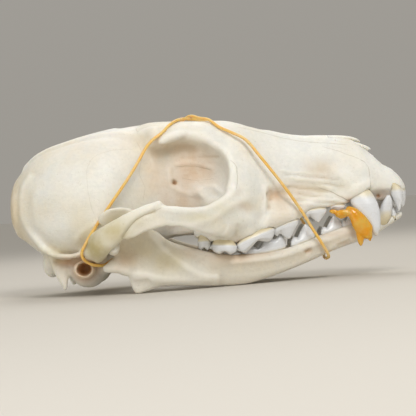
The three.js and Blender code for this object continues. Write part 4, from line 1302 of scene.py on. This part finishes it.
@dataclass
class Mandible:
    """One half of the lower jaw."""

    side: Side
    voxel: float = 0.42
    from_middle: float = 0.15
    jaw: Rows = (
        (-24.9, 9.6, 3, 1, 6.4, 2, 21.8, 2), (-23.6, 14.6, 0.1, 1.7, 6.6, 2.2, 21.8, 2.2),
        (-20.6, 17, 0.5, 2.1, 6.8, 2.2, 21.6, 2.2), (-17, 18.2, 1.4, 2.2, 6.6, 2.2, 21, 2.2),
        (-13, 15.2, 1.7, 2.4, 6.4, 2.4, 20, 2.2), (-8, 13, 1.4, 2.6, 6, 2.8, 18.5, 2.3),
        (-1, 10.8, 0.6, 2.7, 5, 3.6, 15.8, 2.4), (7.5, 9.3, 0.1, 2.7, 4.4, 4.2, 13, 2.4),
        (15, 9.4, 1.2, 2.6, 4.8, 4.4, 11, 2.4), (22, 10.0, 3.1, 2.5, 6, 4.4, 9.8, 2.4),
        (30, 12.2, 5.7, 2.4, 8.4, 4, 8.2, 2.4), (37, 14.4, 8.2, 2.4, 10.8, 4, 6.9, 2.4),
        (43, 15.8, 9.9, 2.5, 12.4, 3.6, 5.5, 2.4), (49, 16.2, 11.2, 2.9, 13.4, 3, 3.9, 2.4),
        (53.5, 17.2, 13.8, 2.6, 15.4, 2.6, 3.2, 2.3), (57, 18.2, 15.7, 2.3, 16.9, 2.4, 2.9, 2.2),
        (59.2, 18.9, 17.1, 1.6, 18, 2, 2.7, 2),
    )
    coronoid: Rows = (
        (-19, 21.3, 6, 1.8, 6.0), (-20, 21.3, 11, 1.7, 7.4), (-21.2, 21.6, 14.5, 1.5, 6.5),
        (-23.2, 22.4, 18.2, 1.2, 6.1), (-24.8, 23.1, 20.2, 1.1, 6.6), (-26.2, 23.9, 22, 1.0, 6.8),
        (-26.8, 24.5, 23.6, 0.9, 6.0), (-26.8, 24.9, 24.9, 0.8, 4.4), (-26.8, 25.2, 25.7, 0.6, 2.6),
        (-26.8, 25.2, 26.0, 0.25, 1.0),
    )
    joint: Rows = (
        (-28.6, 18.6, 13.8, 1.3, 1.4), (-28.6, 20.8, 13.9, 1.9, 2), (-28.7, 24.2, 13.9, 2.1, 2.1),
        (-28.8, 27.4, 13.9, 1.8, 1.9), (-28.8, 29.2, 13.9, 1, 1.1),
    )
    neck: Rows = ((-20, 21.4, 11, 1.8, 5), (-26, 22.2, 12.2, 1.6, 3), (-28.4, 22.8, 13.4, 1.6, 1.8))
    angular: Rows = (
        (-19, 21.4, 7.6, 1.8, 3.4), (-24, 21.8, 8.6, 1.7, 3.4), (-27.4, 22.2, 9.2, 1.5, 2.9),
        (-29.6, 22.4, 8.7, 1.3, 2.0), (-31.2, 22.5, 8.2, 1.2, 1.3), (-32.5, 22.6, 8.0, 0.8, 0.8),
    )

    def build(self) -> Piece:
        """Grows the half jaw from its parts and carves its surface.

        Returns:
            The half jaw, in millimetres, clear of the middle plane and of the ground.
        """
        out = self.side.value
        jaw = merge(f"{self.side.label}_jaw_bone", [
            skin("jaw", body_rings(self.jaw, out, count=110, points=40)),
            skin("coronoid", level_rings(self.coronoid, out)),
            skin("neck", bar_rings(self.neck, out)),
            skin("angular", bar_rings(self.angular, out)),
            skin("joint", bar_rings(self.joint, out)),
        ])
        grow_together(jaw, self.voxel)
        fill_creases(jaw, 14)
        soften(jaw, 5)
        sculpt(jaw, self.carving())
        soften(jaw, 1)
        points = points_of(jaw)
        points[:, 1] = out * np.maximum(out * points[:, 1], self.from_middle)
        points[:, 2] = np.maximum(points[:, 2], 0.0)
        place_points(jaw, points)
        for tool in sockets(LOWER_TEETH, LOWER_FANG, Jaw.LOWER, (self.side,)):
            carve(jaw, tool)
        return jaw

    def carving(self) -> list[Stroke]:
        """Lists the strokes that shape the surface.

        Returns:
            Those of the jaw's back, and then those of its body.
        """
        outer, whole, back = (18.0, 27.0), (0.5, 30), (14, 27)
        ridge = ((-17.6, 19), (-17.2, 17.6), (-15, 14.3), (-12.6, 11.1), (-9, 7.6), (-4.2, 4.6), (0, 3.4))
        return [
            Stroke(((-24.4, 12.6), (-19.5, 11.4), (-13.8, 8.2)), 3.8, -1.7, outer, facing=0.15),
            Stroke(((-27, 22), (-23, 17)), 3.4, -0.5, outer, facing=0.2),
            Stroke(ridge, 1.5, 0.55, back, facing=0.15),
            Stroke(((-30, 7.8), (-23, 5.8), (-16, 4.2), (-8, 3.0), (0, 2.4)), 1.6, 0.5, back, facing=0.1),
            Stroke(((-13.2, 14.2), (-9, 10.8), (-4, 8.2)), 1.5, -0.45, back, facing=0.1),
            Stroke(((-22.6, 3.2), (-20, 3.6)), 1.3, -0.4, outer, facing=0.2),
            Stroke(((28.4, 8.5), (29.6, 9.0)), 0.55, -0.6, whole, facing=0.3),
            Stroke(((38.6, 9.8), (41.8, 10.9)), 0.6, -0.3, whole, facing=0.3),
            Stroke(((24, 8.6), (34, 11.4), (43, 13.8)), 0.8, 0.2, whole, facing=0.3),
            Stroke(((6, 7.2), (18, 7.4), (24, 8.4)), 0.9, 0.25, whole, facing=0.3),
            Stroke(((0, 5.6), (12, 5.2), (24, 6.4), (34, 9.2)), 1.6, -0.25, whole, facing=0.3),
            Stroke(((49, 14), (53, 15.6)), 2.0, 0.4, whole, facing=0.3),
        ]

    def dress(self, jaw: Piece) -> None:
        """Stores hollows, stained patches and painted shade on the skin. The jaw has no sutures, but its
        finish reads their values.

        Args:
            jaw: The half jaw.
        """
        mark_seams(jaw, ())
        mark_hollows(jaw)
        # The olive patches are painted shade, tinted olive: in the hollow of the chewing muscle and on the
        # coronoid below its rim.
        mark_stains(jaw, "olive", [
            StainOrShade((-21, 21, 12.5), (8, 6, 5), 0.32), StainOrShade((-13, 20, 9), (5, 5, 4), 0.5),
            StainOrShade((-27, 25, 21), (5, 4, 4), 0.5),
        ])
        mark_stains(jaw, "brown", [
            StainOrShade((-26, 23, 10.5), (4, 5, 2.6), 0.12), StainOrShade((29, 10, 8.7), (1.2, 3, 0.7), 0.45),
            StainOrShade((40.3, 7, 10.3), (2.4, 3, 0.7), 0.3), StainOrShade((14, 13, 9.4), (8, 4, 0.8), 0.35),
            StainOrShade((34, 9, 13.4), (9, 4, 1.0), 0.25),
        ])
        mark_stains(jaw, "pink", [
            StainOrShade((3.7, 14, 9.4), (9, 5, 2.2), 0.65), StainOrShade((-6, 17, 11), (5, 5, 2), 0.4),
        ])
        mark_stains(jaw, "amber_stain", [
            StainOrShade((-26, 22, 10), (5, 5, 3), 0.2), StainOrShade((6, 14, 8.4), (7, 5, 2), 0.2),
        ])


# The teeth

CROWN_SQUARE, SOCKET_SQUARE = 2.4, 2.2
SOCKET_PLAY = 0.2
CUSP_FALL_ALONG, CUSP_FALL_ACROSS = 1.3, 1.4
CUSP_MERGE = 6
# Rings below the chewing face, as heights and widths. A height over the gum line is a share of the rim, and
# one under it is in millimetres.
NECK = ((0.6, 1.03), (0.25, 1.02), (0.0, 0.97), (-0.3, 0.92), (-1.0, 0.86))
ROOT_TIP = 0.68


@dataclass(frozen=True)
class Cusp:
    """A point of a crown: its place, as shares of the half sizes, its height and its spread."""

    along: float
    across: float
    height: float
    front: float
    back: float
    wide: float = 1.0


class Crown(Enum):
    """The kinds of crown. Positive along is forwards and positive across is outwards."""

    INCISOR = (Cusp(0.0, 0.1, 1.0, 1.3, 1.3, 1.1), Cusp(0.62, 0.0, 0.72, 0.7, 0.8),
               Cusp(-0.62, 0.0, 0.72, 0.8, 0.7))
    CORNER_INCISOR = (Cusp(0.0, 0.2, 1.0, 1.1, 1.1, 1.2), Cusp(0.0, -0.6, 0.4, 0.9, 0.9, 0.5))
    UPPER_PREMOLAR = (Cusp(0.2, 0.05, 1.0, 0.85, 0.95), Cusp(-0.74, 0.0, 0.5, 0.55, 0.4, 0.95))
    UPPER_CARNASSIAL = (Cusp(0.68, 0.3, 0.9, 0.5, 0.9, 1.1), Cusp(-0.66, 0.25, 1.0, 0.95, 0.55, 1.1),
                        Cusp(0.72, -0.8, 0.55, 0.4, 0.5, 0.5))
    UPPER_MOLAR = (Cusp(0.45, 0.55, 1.0, 0.6, 0.6, 0.55), Cusp(-0.45, 0.55, 0.95, 0.6, 0.6, 0.55),
                   Cusp(0.15, -0.45, 0.62, 0.8, 0.7, 0.5), Cusp(-0.5, -0.7, 0.5, 0.5, 0.5, 0.45))
    LOWER_PREMOLAR = (Cusp(0.28, 0.0, 1.0, 0.8, 0.85), Cusp(-0.72, 0.0, 0.42, 0.5, 0.4, 0.95))
    LOWER_CARNASSIAL = (Cusp(0.22, 0.3, 0.92, 0.55, 0.5, 1.0), Cusp(0.76, 0.2, 1.0, 0.35, 0.5, 1.0),
                        Cusp(-0.05, -0.55, 0.7, 0.4, 0.4, 0.6), Cusp(-0.65, 0.1, 0.5, 0.5, 0.5, 1.0))
    LOWER_MOLAR = (Cusp(0.45, 0.45, 1.0, 0.6, 0.6, 0.6), Cusp(0.45, -0.45, 0.95, 0.6, 0.6, 0.6),
                   Cusp(-0.5, 0.4, 0.8, 0.6, 0.6, 0.6), Cusp(-0.5, -0.45, 0.75, 0.6, 0.6, 0.6))

    @property
    def rim(self) -> float:
        """How high the crown's edge stands, as a share of its height."""
        return {"UPPER_MOLAR": 0.55, "LOWER_MOLAR": 0.5, "LOWER_CARNASSIAL": 0.22}.get(self.name, 0.2)


@dataclass(frozen=True)
class Tooth:
    """One tooth, set on its gum line, which may slope up towards the front."""

    name: str
    crown: Crown
    x: float
    y: float
    gum: float
    height: float
    length: float
    width: float
    root: float
    turn: float
    slope: float = 0.0
    lean: float = 0.0

    def _rings(self, side: Side, jaw: Jaw, layers: Sequence[tuple[float, Array, Array]]) -> Array:
        """Places flat rings of the tooth in the skull.

        Args:
            side: The side of the animal.
            jaw: The jaw that it stands in.
            layers: For each ring its height over the gum line and its points as shares of the half sizes.

        Returns:
            Points, shaped (rings, points, 3).
        """
        c, s = math.cos(self.turn), math.sin(self.turn)
        placed = []
        for level, a, b in layers:
            x, y = a * self.length / 2, b * self.width / 2
            fore = c * x - s * y
            z = self.gum + self.slope * fore + jaw.value * (level + np.zeros(len(a)))
            back = self.lean * np.minimum(level, 0)
            placed.append(np.stack([self.x + fore + back, side.value * (self.y + s * x + c * y), z], axis=1))
        return np.array(placed)

    def build(self, side: Side, jaw: Jaw, rings: int = 20, points: int = 48) -> Piece:
        """Shapes the tooth.

        Args:
            side: The side of the animal.
            jaw: The jaw that it stands in.
            rings: How many rings its chewing face has.
            points: How many points go round it.

        Returns:
            The tooth, in millimetres, with its crown height stored.
        """
        cos, sin = rounded_square(points, CROWN_SQUARE)
        base = self.crown.rim * self.height
        layers = []
        for share in np.linspace(0.02, 1, rings):
            a, b = share * cos, share * sin
            layers.append((base + (self.height - base) * self._relief(a, b), a, b))
        for drop, reach in (*NECK, (-self.root, ROOT_TIP)):
            layers.append((base * drop if drop > 0 else drop, reach * cos, reach * sin))
        tooth = skin(f"{side.label}_{jaw.name.lower()}_{self.name}_crown", self._rings(side, jaw, layers))
        soften(tooth, 1)
        placed = points_of(tooth)
        level = jaw.value * (placed[:, 2] - self.gum - self.slope * (placed[:, 0] - self.x)) / self.height
        store(tooth, "crown", level)
        return tooth

    def socket(self, side: Side, jaw: Jaw, points: int = 24) -> Piece:
        """The hole that the tooth stands in, a little wider than its root.

        Args:
            side: The side of the animal.
            jaw: The jaw.
            points: How many points go round it.

        Returns:
            The cutting tool.
        """
        cos, sin = rounded_square(points, SOCKET_SQUARE)
        wide = 1 + SOCKET_PLAY / self.width
        depths = ((0.9, wide), (-0.1, wide), (-0.9, 0.95), (-1.3, 0.8))
        return skin("socket", self._rings(side, jaw, [(level, r * cos, r * sin) for level, r in depths]))

    def _relief(self, a: Array, b: Array) -> Array:
        """How high the chewing face stands over its rim, 0 to 1."""
        total = np.zeros_like(a)
        for cusp in self.crown.value:
            da = (a - cusp.along) / np.where(a > cusp.along, cusp.front, cusp.back)
            db = (b - cusp.across) / cusp.wide
            fore = np.clip(1 - np.abs(da) ** CUSP_FALL_ALONG, 0, 1)
            one = cusp.height * fore * np.clip(1 - np.abs(db) ** CUSP_FALL_ACROSS, 0, 1)
            total += one**CUSP_MERGE
        return total ** (1 / CUSP_MERGE)


def rounded_square(points: int, square: float) -> tuple[Array, Array]:
    """A ring between a circle (2) and a square, as its two coordinates."""
    turn = np.linspace(0, 2 * np.pi, points, endpoint=False)
    c, s = np.cos(turn), np.sin(turn)
    return np.sign(c) * np.abs(c) ** (2 / square), np.sign(s) * np.abs(s) ** (2 / square)


UPPER_TEETH = (
    Tooth("incisor_1", Crown.INCISOR, 60.1, 1.35, 25.3, 5.2, 2.2, 2, 2, -1.45, 0, 0.6),
    Tooth("incisor_2", Crown.INCISOR, 59.4, 3.7, 25.4, 5.6, 2.4, 2.3, 2, -1.2, 0, 0.6),
    Tooth("incisor_3", Crown.CORNER_INCISOR, 57.7, 6.2, 25.6, 6.8, 3.2, 3.4, 2, -0.95, 0, 0.6),
    Tooth("premolar_1", Crown.UPPER_PREMOLAR, 39.0, 8.5, 21.9, 2.1, 4.8, 2.2, 2, 0.02, -0.08),
    Tooth("premolar_2", Crown.UPPER_PREMOLAR, 32.1, 9.4, 21.1, 4.0, 6.9, 2.5, 2.4, -0.14, 0.06),
    Tooth("premolar_3", Crown.UPPER_PREMOLAR, 22.7, 11.6, 17.6, 5.0, 7.9, 3, 2.4, -0.22, 0.26),
    Tooth("carnassial", Crown.UPPER_CARNASSIAL, 13.3, 14.9, 14.6, 3.7, 11.8, 4.4, 2.6, -0.3, 0.34),
    Tooth("molar_1", Crown.UPPER_MOLAR, 3.6, 15.8, 12.6, 2.9, 7.6, 8.4, 2.2, 0, -0.1),
    Tooth("molar_2", Crown.UPPER_MOLAR, -2.2, 14.9, 14.2, 3.0, 4.0, 6.2, 2, 0.1),
)
LOWER_TEETH = (
    Tooth("incisor_1", Crown.INCISOR, 58.1, 1.2, 17.8, 2.8, 1.5, 1.7, 0.7, -1.45),
    Tooth("incisor_2", Crown.INCISOR, 57.6, 2.95, 17.8, 2.8, 1.6, 1.7, 0.7, -1.3),
    Tooth("incisor_3", Crown.INCISOR, 56.4, 4.5, 17.4, 2.8, 1.5, 1.7, 0.8, -1),
    Tooth("premolar_1", Crown.LOWER_PREMOLAR, 47.3, 4.9, 15.6, 1.8, 2.6, 1.7, 1.6, -0.2),
    Tooth("premolar_2", Crown.LOWER_PREMOLAR, 42.5, 5.9, 15.5, 4.0, 4.8, 2.1, 2, -0.22, 0.2),
    Tooth("premolar_3", Crown.LOWER_PREMOLAR, 36.8, 7.1, 14.0, 4.6, 6.8, 2.3, 2.2, -0.22, 0.3),
    Tooth("premolar_4", Crown.LOWER_PREMOLAR, 27.7, 8.6, 11.4, 5.3, 7.6, 2.6, 2.2, -0.2, 0.3),
    Tooth("carnassial", Crown.LOWER_CARNASSIAL, 15.6, 10.8, 9.2, 5.0, 13.6, 3.6, 2.4, -0.18, 0.12),
    Tooth("molar_2", Crown.LOWER_MOLAR, 5.8, 13.0, 8.6, 1.5, 5.4, 3.4, 2, -0.22),
    Tooth("molar_3", Crown.LOWER_MOLAR, 1.6, 14.2, 9.2, 1.1, 2.6, 2.4, 1.6, -0.22),
)


@dataclass(frozen=True)
class Fang:
    """A canine tooth: x, outwards y, z, half width and half length of its sections, from root to tip."""

    stations: Rows
    gum: float
    crown: float = 12.0
    play: tuple[float, float] = (0.12, 0.14)

    def build(self, side: Side, jaw: Jaw) -> Piece:
        """Shapes the fang.

        Args:
            side: The side of the animal.
            jaw: The jaw that it stands in.

        Returns:
            The fang, in millimetres, with its crown height stored.
        """
        rings = bar_rings(self.stations, side.value, FORWARDS, count=44, points=32)
        fang = skin(f"{side.label}_{jaw.name.lower()}_canine_crown", rings)
        store(fang, "crown", jaw.value * (points_of(fang)[:, 2] - self.gum) / self.crown)
        return fang

    def socket(self, side: Side) -> Piece:
        """The hole that the fang stands in."""
        wider, longer = self.play
        grown = [(x, y, z, across + wider, along + longer) for x, y, z, across, along in self.stations[:4]]
        return skin("fang_socket", bar_rings(grown, side.value, FORWARDS, count=24))


UPPER_FANG = Fang((
    (44.8, 7.3, 28.4, 1.4, 2.3), (45.6, 7.9, 25.8, 1.8, 3.1), (46.8, 8.7, 23.0, 2.05, 3.7),
    (48.5, 9.4, 19.8, 1.95, 3.2), (49.7, 9.8, 16.4, 1.5, 2.1), (50.0, 10, 13.4, 0.9, 1.15),
    (50.1, 10, 11.9, 0.3, 0.4),
), 24.6)
LOWER_FANG = Fang((
    (51.2, 4.7, 14.7, 1.2, 1.6), (52.3, 5.1, 16.0, 1.5, 2.1), (53.3, 5.7, 17.8, 1.5, 2.1),
    (54.2, 6.5, 20.4, 1.2, 1.75), (54.8, 7.1, 22.6, 0.85, 1.2), (54.9, 7.4, 23.9, 0.35, 0.45),
), 18.4)


def sockets(row: Sequence[Tooth], fang: Fang, jaw: Jaw, sides: Sequence[Side] = tuple(Side)) -> list[Piece]:
    """The tools that open the sockets, in sets whose tools stand clear of each other.

    Args:
        row: The teeth of the jaw.
        fang: Its canine.
        jaw: Which jaw it is.
        sides: The sides to open.

    Returns:
        Two joined tools and one for the canines.
    """
    made = [[tooth.socket(side, jaw) for tooth in row[start::2] for side in sides] for start in (0, 1)]
    made.append([fang.socket(side) for side in sides])
    return [merge("sockets", tools) for tools in made]


@dataclass
class Dentition:
    """All the teeth of one jaw."""

    jaw: Jaw
    row: Sequence[Tooth]
    fang: Fang

    def build(self, finish: Material) -> None:
        """Shapes and dresses every tooth of both sides.

        Args:
            finish: The enamel.
        """
        for side in Side:
            named = [("canine", self.fang.build(side, self.jaw))]
            named += [(tooth.name, tooth.build(side, self.jaw)) for tooth in self.row]
            for name, piece in named:
                hand_in(piece, f"{side.label}_{self.jaw.name.lower()}_{name}", finish)


# The band and the lump


@dataclass
class RubberBand:
    """The closed loop that crosses over the forehead."""

    radius: float = 0.47
    front: Rows = (
        (35, 5.4, 6.0), (35.2, 9.4, 6.9), (33.6, 11.2, 10.2), (30.9, 12.0, 15.0), (27.5, 13.2, 21.3),
        (22.7, 15.2, 28.9), (16.2, 16.4, 38.2), (12.2, 15.2, 43.6), (8, 13.8, 46.2), (4.6, 12.0, 48.1),
        (1.7, 8.6, 50.7), (-1.2, 4.6, 51.7),
    )
    rear: Rows = (
        (-6.8, 4.8, 51.75), (-10.1, 11.7, 50.0), (-12.6, 14.6, 47.5), (-15.8, 16.2, 45.2),
        (-17.5, 17.0, 43.4), (-20.3, 18.9, 39.0), (-23.8, 21.2, 33.8), (-29.4, 23.0, 26.5),
        (-33.9, 22.3, 20.7), (-36.9, 22.0, 16.4), (-38.7, 21.8, 12.8), (-37.8, 21.4, 10.8),
        (-35.4, 20.8, 9.4), (-32.4, 19.6, 9.1), (-29.6, 17.8, 10.6), (-28.2, 14.6, 9.4), (-27.6, 10, 7.8),
        (-27.4, 5, 7.4),
    )
    crossing: tuple[float, float] = (-4, 51.8)
    lift: float = 1.0
    steps: int = 420
    roundness: int = 4

    def path(self) -> Array:
        """The middle line of the loop, as places on a closed curve."""
        front, rear = np.array(self.front), np.array(self.rear)
        x, z = self.crossing
        return np.vstack([
            outwards(front, Side.RIGHT), [x, 0, z + self.lift], rear,
            outwards(rear, Side.RIGHT)[::-1], [x, 0, z], front[::-1],
        ])

    def build(self) -> Piece:
        """Draws the loop as a closed curve with a round section and turns it into a mesh.

        Returns:
            The loop, in millimetres.
        """
        places = closed_curve(self.path(), self.steps)
        deselect()
        curve = bpy.data.curves.new("band", "CURVE")
        curve.dimensions = "3D"
        spline = curve.splines.new("POLY")
        spline.points.add(len(places) - 1)
        spline.points.foreach_set("co", np.c_[places, np.ones(len(places))].ravel())
        spline.use_cyclic_u = True
        curve.bevel_depth = self.radius
        curve.bevel_resolution = self.roundness
        band = bpy.data.objects.new("rubber_loop", curve)
        bpy.context.scene.collection.objects.link(band)
        pick(band)
        bpy.ops.object.convert(target="MESH")
        return bpy.context.object


def closed_curve(places: Array, count: int, per_span: int = 24) -> Array:
    """Runs a smooth closed curve through places, by the centripetal rule.

    Args:
        places: The places, shaped (n, 3).
        count: How many points to return.
        per_span: How many points are worked out between two places.

    Returns:
        Points evenly spread along the curve.
    """
    n = len(places)
    fine = []
    for i in range(n):
        p = [places[(i + k) % n] for k in (-1, 0, 1, 2)]
        gaps = [max(np.linalg.norm(b - a), TINY) ** 0.5 for a, b in zip(p, p[1:])]
        knots = np.concatenate([[0.0], np.cumsum(gaps)])
        for t in np.linspace(knots[1], knots[2], per_span, endpoint=False):
            first = [share_of(t, knots[j], knots[j + 1], p[j], p[j + 1]) for j in range(3)]
            second = [share_of(t, knots[j], knots[j + 2], first[j], first[j + 1]) for j in range(2)]
            fine.append(share_of(t, knots[1], knots[2], *second))
    fine = np.array(fine)
    steps = np.linalg.norm(np.roll(fine, -1, axis=0) - fine, axis=1)
    place = np.concatenate([[0.0], np.cumsum(steps)])
    around = np.vstack([fine, fine[:1]])
    at = np.linspace(0, place[-1], count, endpoint=False)
    return np.stack([np.interp(at, place, column) for column in around.T], axis=1)


def share_of(t: float, low: float, high: float, a: Array, b: Array) -> Array:
    """The place between a and b where t lies between low and high."""
    share = (t - low) / (high - low)
    return (1 - share) * a + share * b


@dataclass
class AmberGlue:
    """Perished rubber, melted into a glossy lump round the right fangs."""

    voxel: float = 0.22
    slab: Rows = (
        (41.8, 9.8, 21.2, 0.5, 0.5), (42.8, 10.2, 20.0, 1.3, 1.5), (44.2, 10.6, 18.2, 1.5, 2.1),
        (45.4, 10.9, 16.0, 1.5, 2.6), (46.6, 11.0, 13.9, 1.4, 2.6), (47.6, 11.1, 12.2, 1.0, 1.5),
        (48.4, 11.1, 11.2, 0.3, 0.4),
    )
    drips: Sequence[Rows] = (
        ((44.8, 10.6, 15.5, 1.2, 1.2), (45.0, 10.8, 12.4, 1.0, 1.1), (45.1, 10.8, 10.2, 0.7, 0.8),
         (45.1, 10.8, 9.2, 0.3, 0.3)),
        ((46.8, 10.8, 13.4, 1.0, 1.0), (47.8, 10.9, 11.6, 0.7, 0.7), (48.0, 10.9, 10.5, 0.3, 0.3)),
        ((38.2, 9.6, 18.9, 0.4, 0.4), (38.8, 9.9, 19.0, 0.9, 1.2), (40.2, 10.1, 19.2, 1.0, 1.5),
         (41.8, 10.3, 19.4, 1.0, 1.2), (43.4, 10.4, 19.0, 1.0, 1.2)),
        ((36.4, 9.6, 20.3, 0.4, 0.3), (37.2, 9.8, 20.2, 0.6, 0.7), (38.4, 9.9, 19.8, 0.7, 0.7),
         (39.4, 9.9, 19.3, 0.5, 0.5)),
    )

    def build(self) -> Piece:
        """Melts the slab and its drips together."""
        bars = [bar_rings(rows, Side.RIGHT.value, FORWARDS) for rows in (self.slab, *self.drips)]
        glue = merge("amber_lump", [skin("drip", rings) for rings in bars])
        grow_together(glue, self.voxel)
        fill_creases(glue, 14)
        soften(glue, 8)
        return glue


# Floor, light and camera


@dataclass(frozen=True)
class Lamp:
    """One soft square light: its place, aim and side in millimetres, its strength in watts and its tint."""

    name: str
    at: Place
    to: Place
    size: float
    power: float
    tint: Place

    def build(self) -> None:
        """Hangs the lamp up."""
        light = bpy.data.lights.new(self.name, "AREA")
        light.shape, light.size, light.energy, light.color = "SQUARE", self.size * MM, self.power, self.tint
        holder = bpy.data.objects.new(self.name, light)
        bpy.context.scene.collection.objects.link(holder)
        holder.location = Vector(self.at) * MM
        holder.rotation_euler = (Vector(self.to) - Vector(self.at)).to_track_quat("-Z", "Y").to_euler()


@dataclass
class Studio:
    """A plain pale floor, soft light and the photograph's point of view."""

    distance: float = 430
    lens: float = 119.45
    film: float = 36.0
    nearest: float = 10
    farthest: float = 20_000
    nose_down: float = 4.0
    aim: tuple[float, float] = (-0.455, 23.87)
    horizon: str = "D3CEC5"
    zenith: str = "F6F5F2"
    glow: tuple[float, float] = (0.52, 0.6)
    sheet: float = 60_000
    lamps: Sequence[Lamp] = (
        Lamp("key", (120, -370, 370), (0, 0, 25), 230, 1.2, (1.0, 0.99, 0.975)),
        Lamp("fill", (-240, -380, 120), (0, 0, 25), 260, 0.34, (0.98, 0.99, 1.0)),
        Lamp("back", (0, 260, 380), (0, 0, 30), 300, 0.6, (1.0, 0.98, 0.95)),
    )

    def build(self, paper: Material) -> None:
        """Sets up the floor, the camera, the lamps and the background light."""
        self._floor(paper)
        self._camera()
        for lamp in self.lamps:
            lamp.build()
        bpy.context.scene.view_settings.view_transform = "Standard"
        self._room()

    def _room(self) -> None:
        """Lights the scene from a soft sky whose horizon has the floor's own colour."""
        world = bpy.data.worlds.new("soft_room")
        bpy.context.scene.world = world
        world.use_nodes = True
        world.node_tree.nodes.clear()
        graph = Graph(world.node_tree)
        height = graph.node("SeparateXYZ", {0: graph.node("TexCoord").outputs["Generated"]}).outputs["Z"]
        tint = graph.blend(graph.ramp(height, 0, 1), colour(self.horizon), colour(self.zenith))
        strength = graph.ramp(height, 0, 1, *self.glow)
        sky = graph.node("Background", {"Color": tint, "Strength": strength})
        graph.node("OutputWorld", {"Surface": sky.outputs[0]})

    def _floor(self, paper: Material) -> None:
        """Lays a wide sheet of paper under the skull."""
        deselect()
        bpy.ops.mesh.primitive_plane_add(size=self.sheet * MM)
        floor = bpy.context.object
        floor.name = "pale_floor"
        deselect()
        floor.data.materials.append(paper)

    def _camera(self) -> None:
        """Sets the camera where the photograph was taken from."""
        eye = bpy.data.cameras.new("photograph")
        eye.lens, eye.sensor_width = self.lens, self.film
        eye.clip_start, eye.clip_end = self.nearest * MM, self.farthest * MM
        holder = bpy.data.objects.new("photograph", eye)
        bpy.context.scene.collection.objects.link(holder)
        tip = math.radians(self.nose_down)
        right = Vector((math.cos(tip), 0, -math.sin(tip)))
        up = Vector((math.sin(tip), 0, math.cos(tip)))
        turn = Matrix((right, up, right.cross(up))).transposed()
        x, z = self.aim
        holder.matrix_world = Matrix.Translation(Vector((x, -self.distance, z)) * MM) @ turn.to_4x4()
        bpy.context.scene.camera = holder


def main() -> None:
    """Builds every sub-assembly in order and reports each piece."""
    logging.basicConfig(level=logging.INFO, format="%(name)s: %(message)s")
    tone, suture = grown_tone_group(), suture_group()
    bone = BoneFinish("old_bone", "F2F1EA", "E8DFC8", "E1E4E0", 0.52, tone, suture).build()
    # The jaw's bone is a darker, duller copy of the skull's bone: the difference is painted shade.
    jaw_bone = BoneFinish("jaw_bone", "E2DED2", "DACFB8", "CFCCC2", 0.5, tone, suture).build()
    enamel = EnamelFinish().build()

    cranium = Cranium()
    skull = cranium.build()
    cranium.dress(skull)
    hand_in(skull, "cranium", bone)
    for side in Side:
        half = Mandible(side)
        jaw = half.build()
        half.dress(jaw)
        hand_in(jaw, f"{side.label}_mandible", jaw_bone)
    Dentition(Jaw.UPPER, UPPER_TEETH, UPPER_FANG).build(enamel)
    Dentition(Jaw.LOWER, LOWER_TEETH, LOWER_FANG).build(enamel)
    hand_in(RubberBand().build(), "rubber_band", RubberFinish().build())
    hand_in(AmberGlue().build(), "amber_glue", AmberFinish().build())
    Studio().build(PaperFinish().build())


if __name__ == "__main__":
    main()
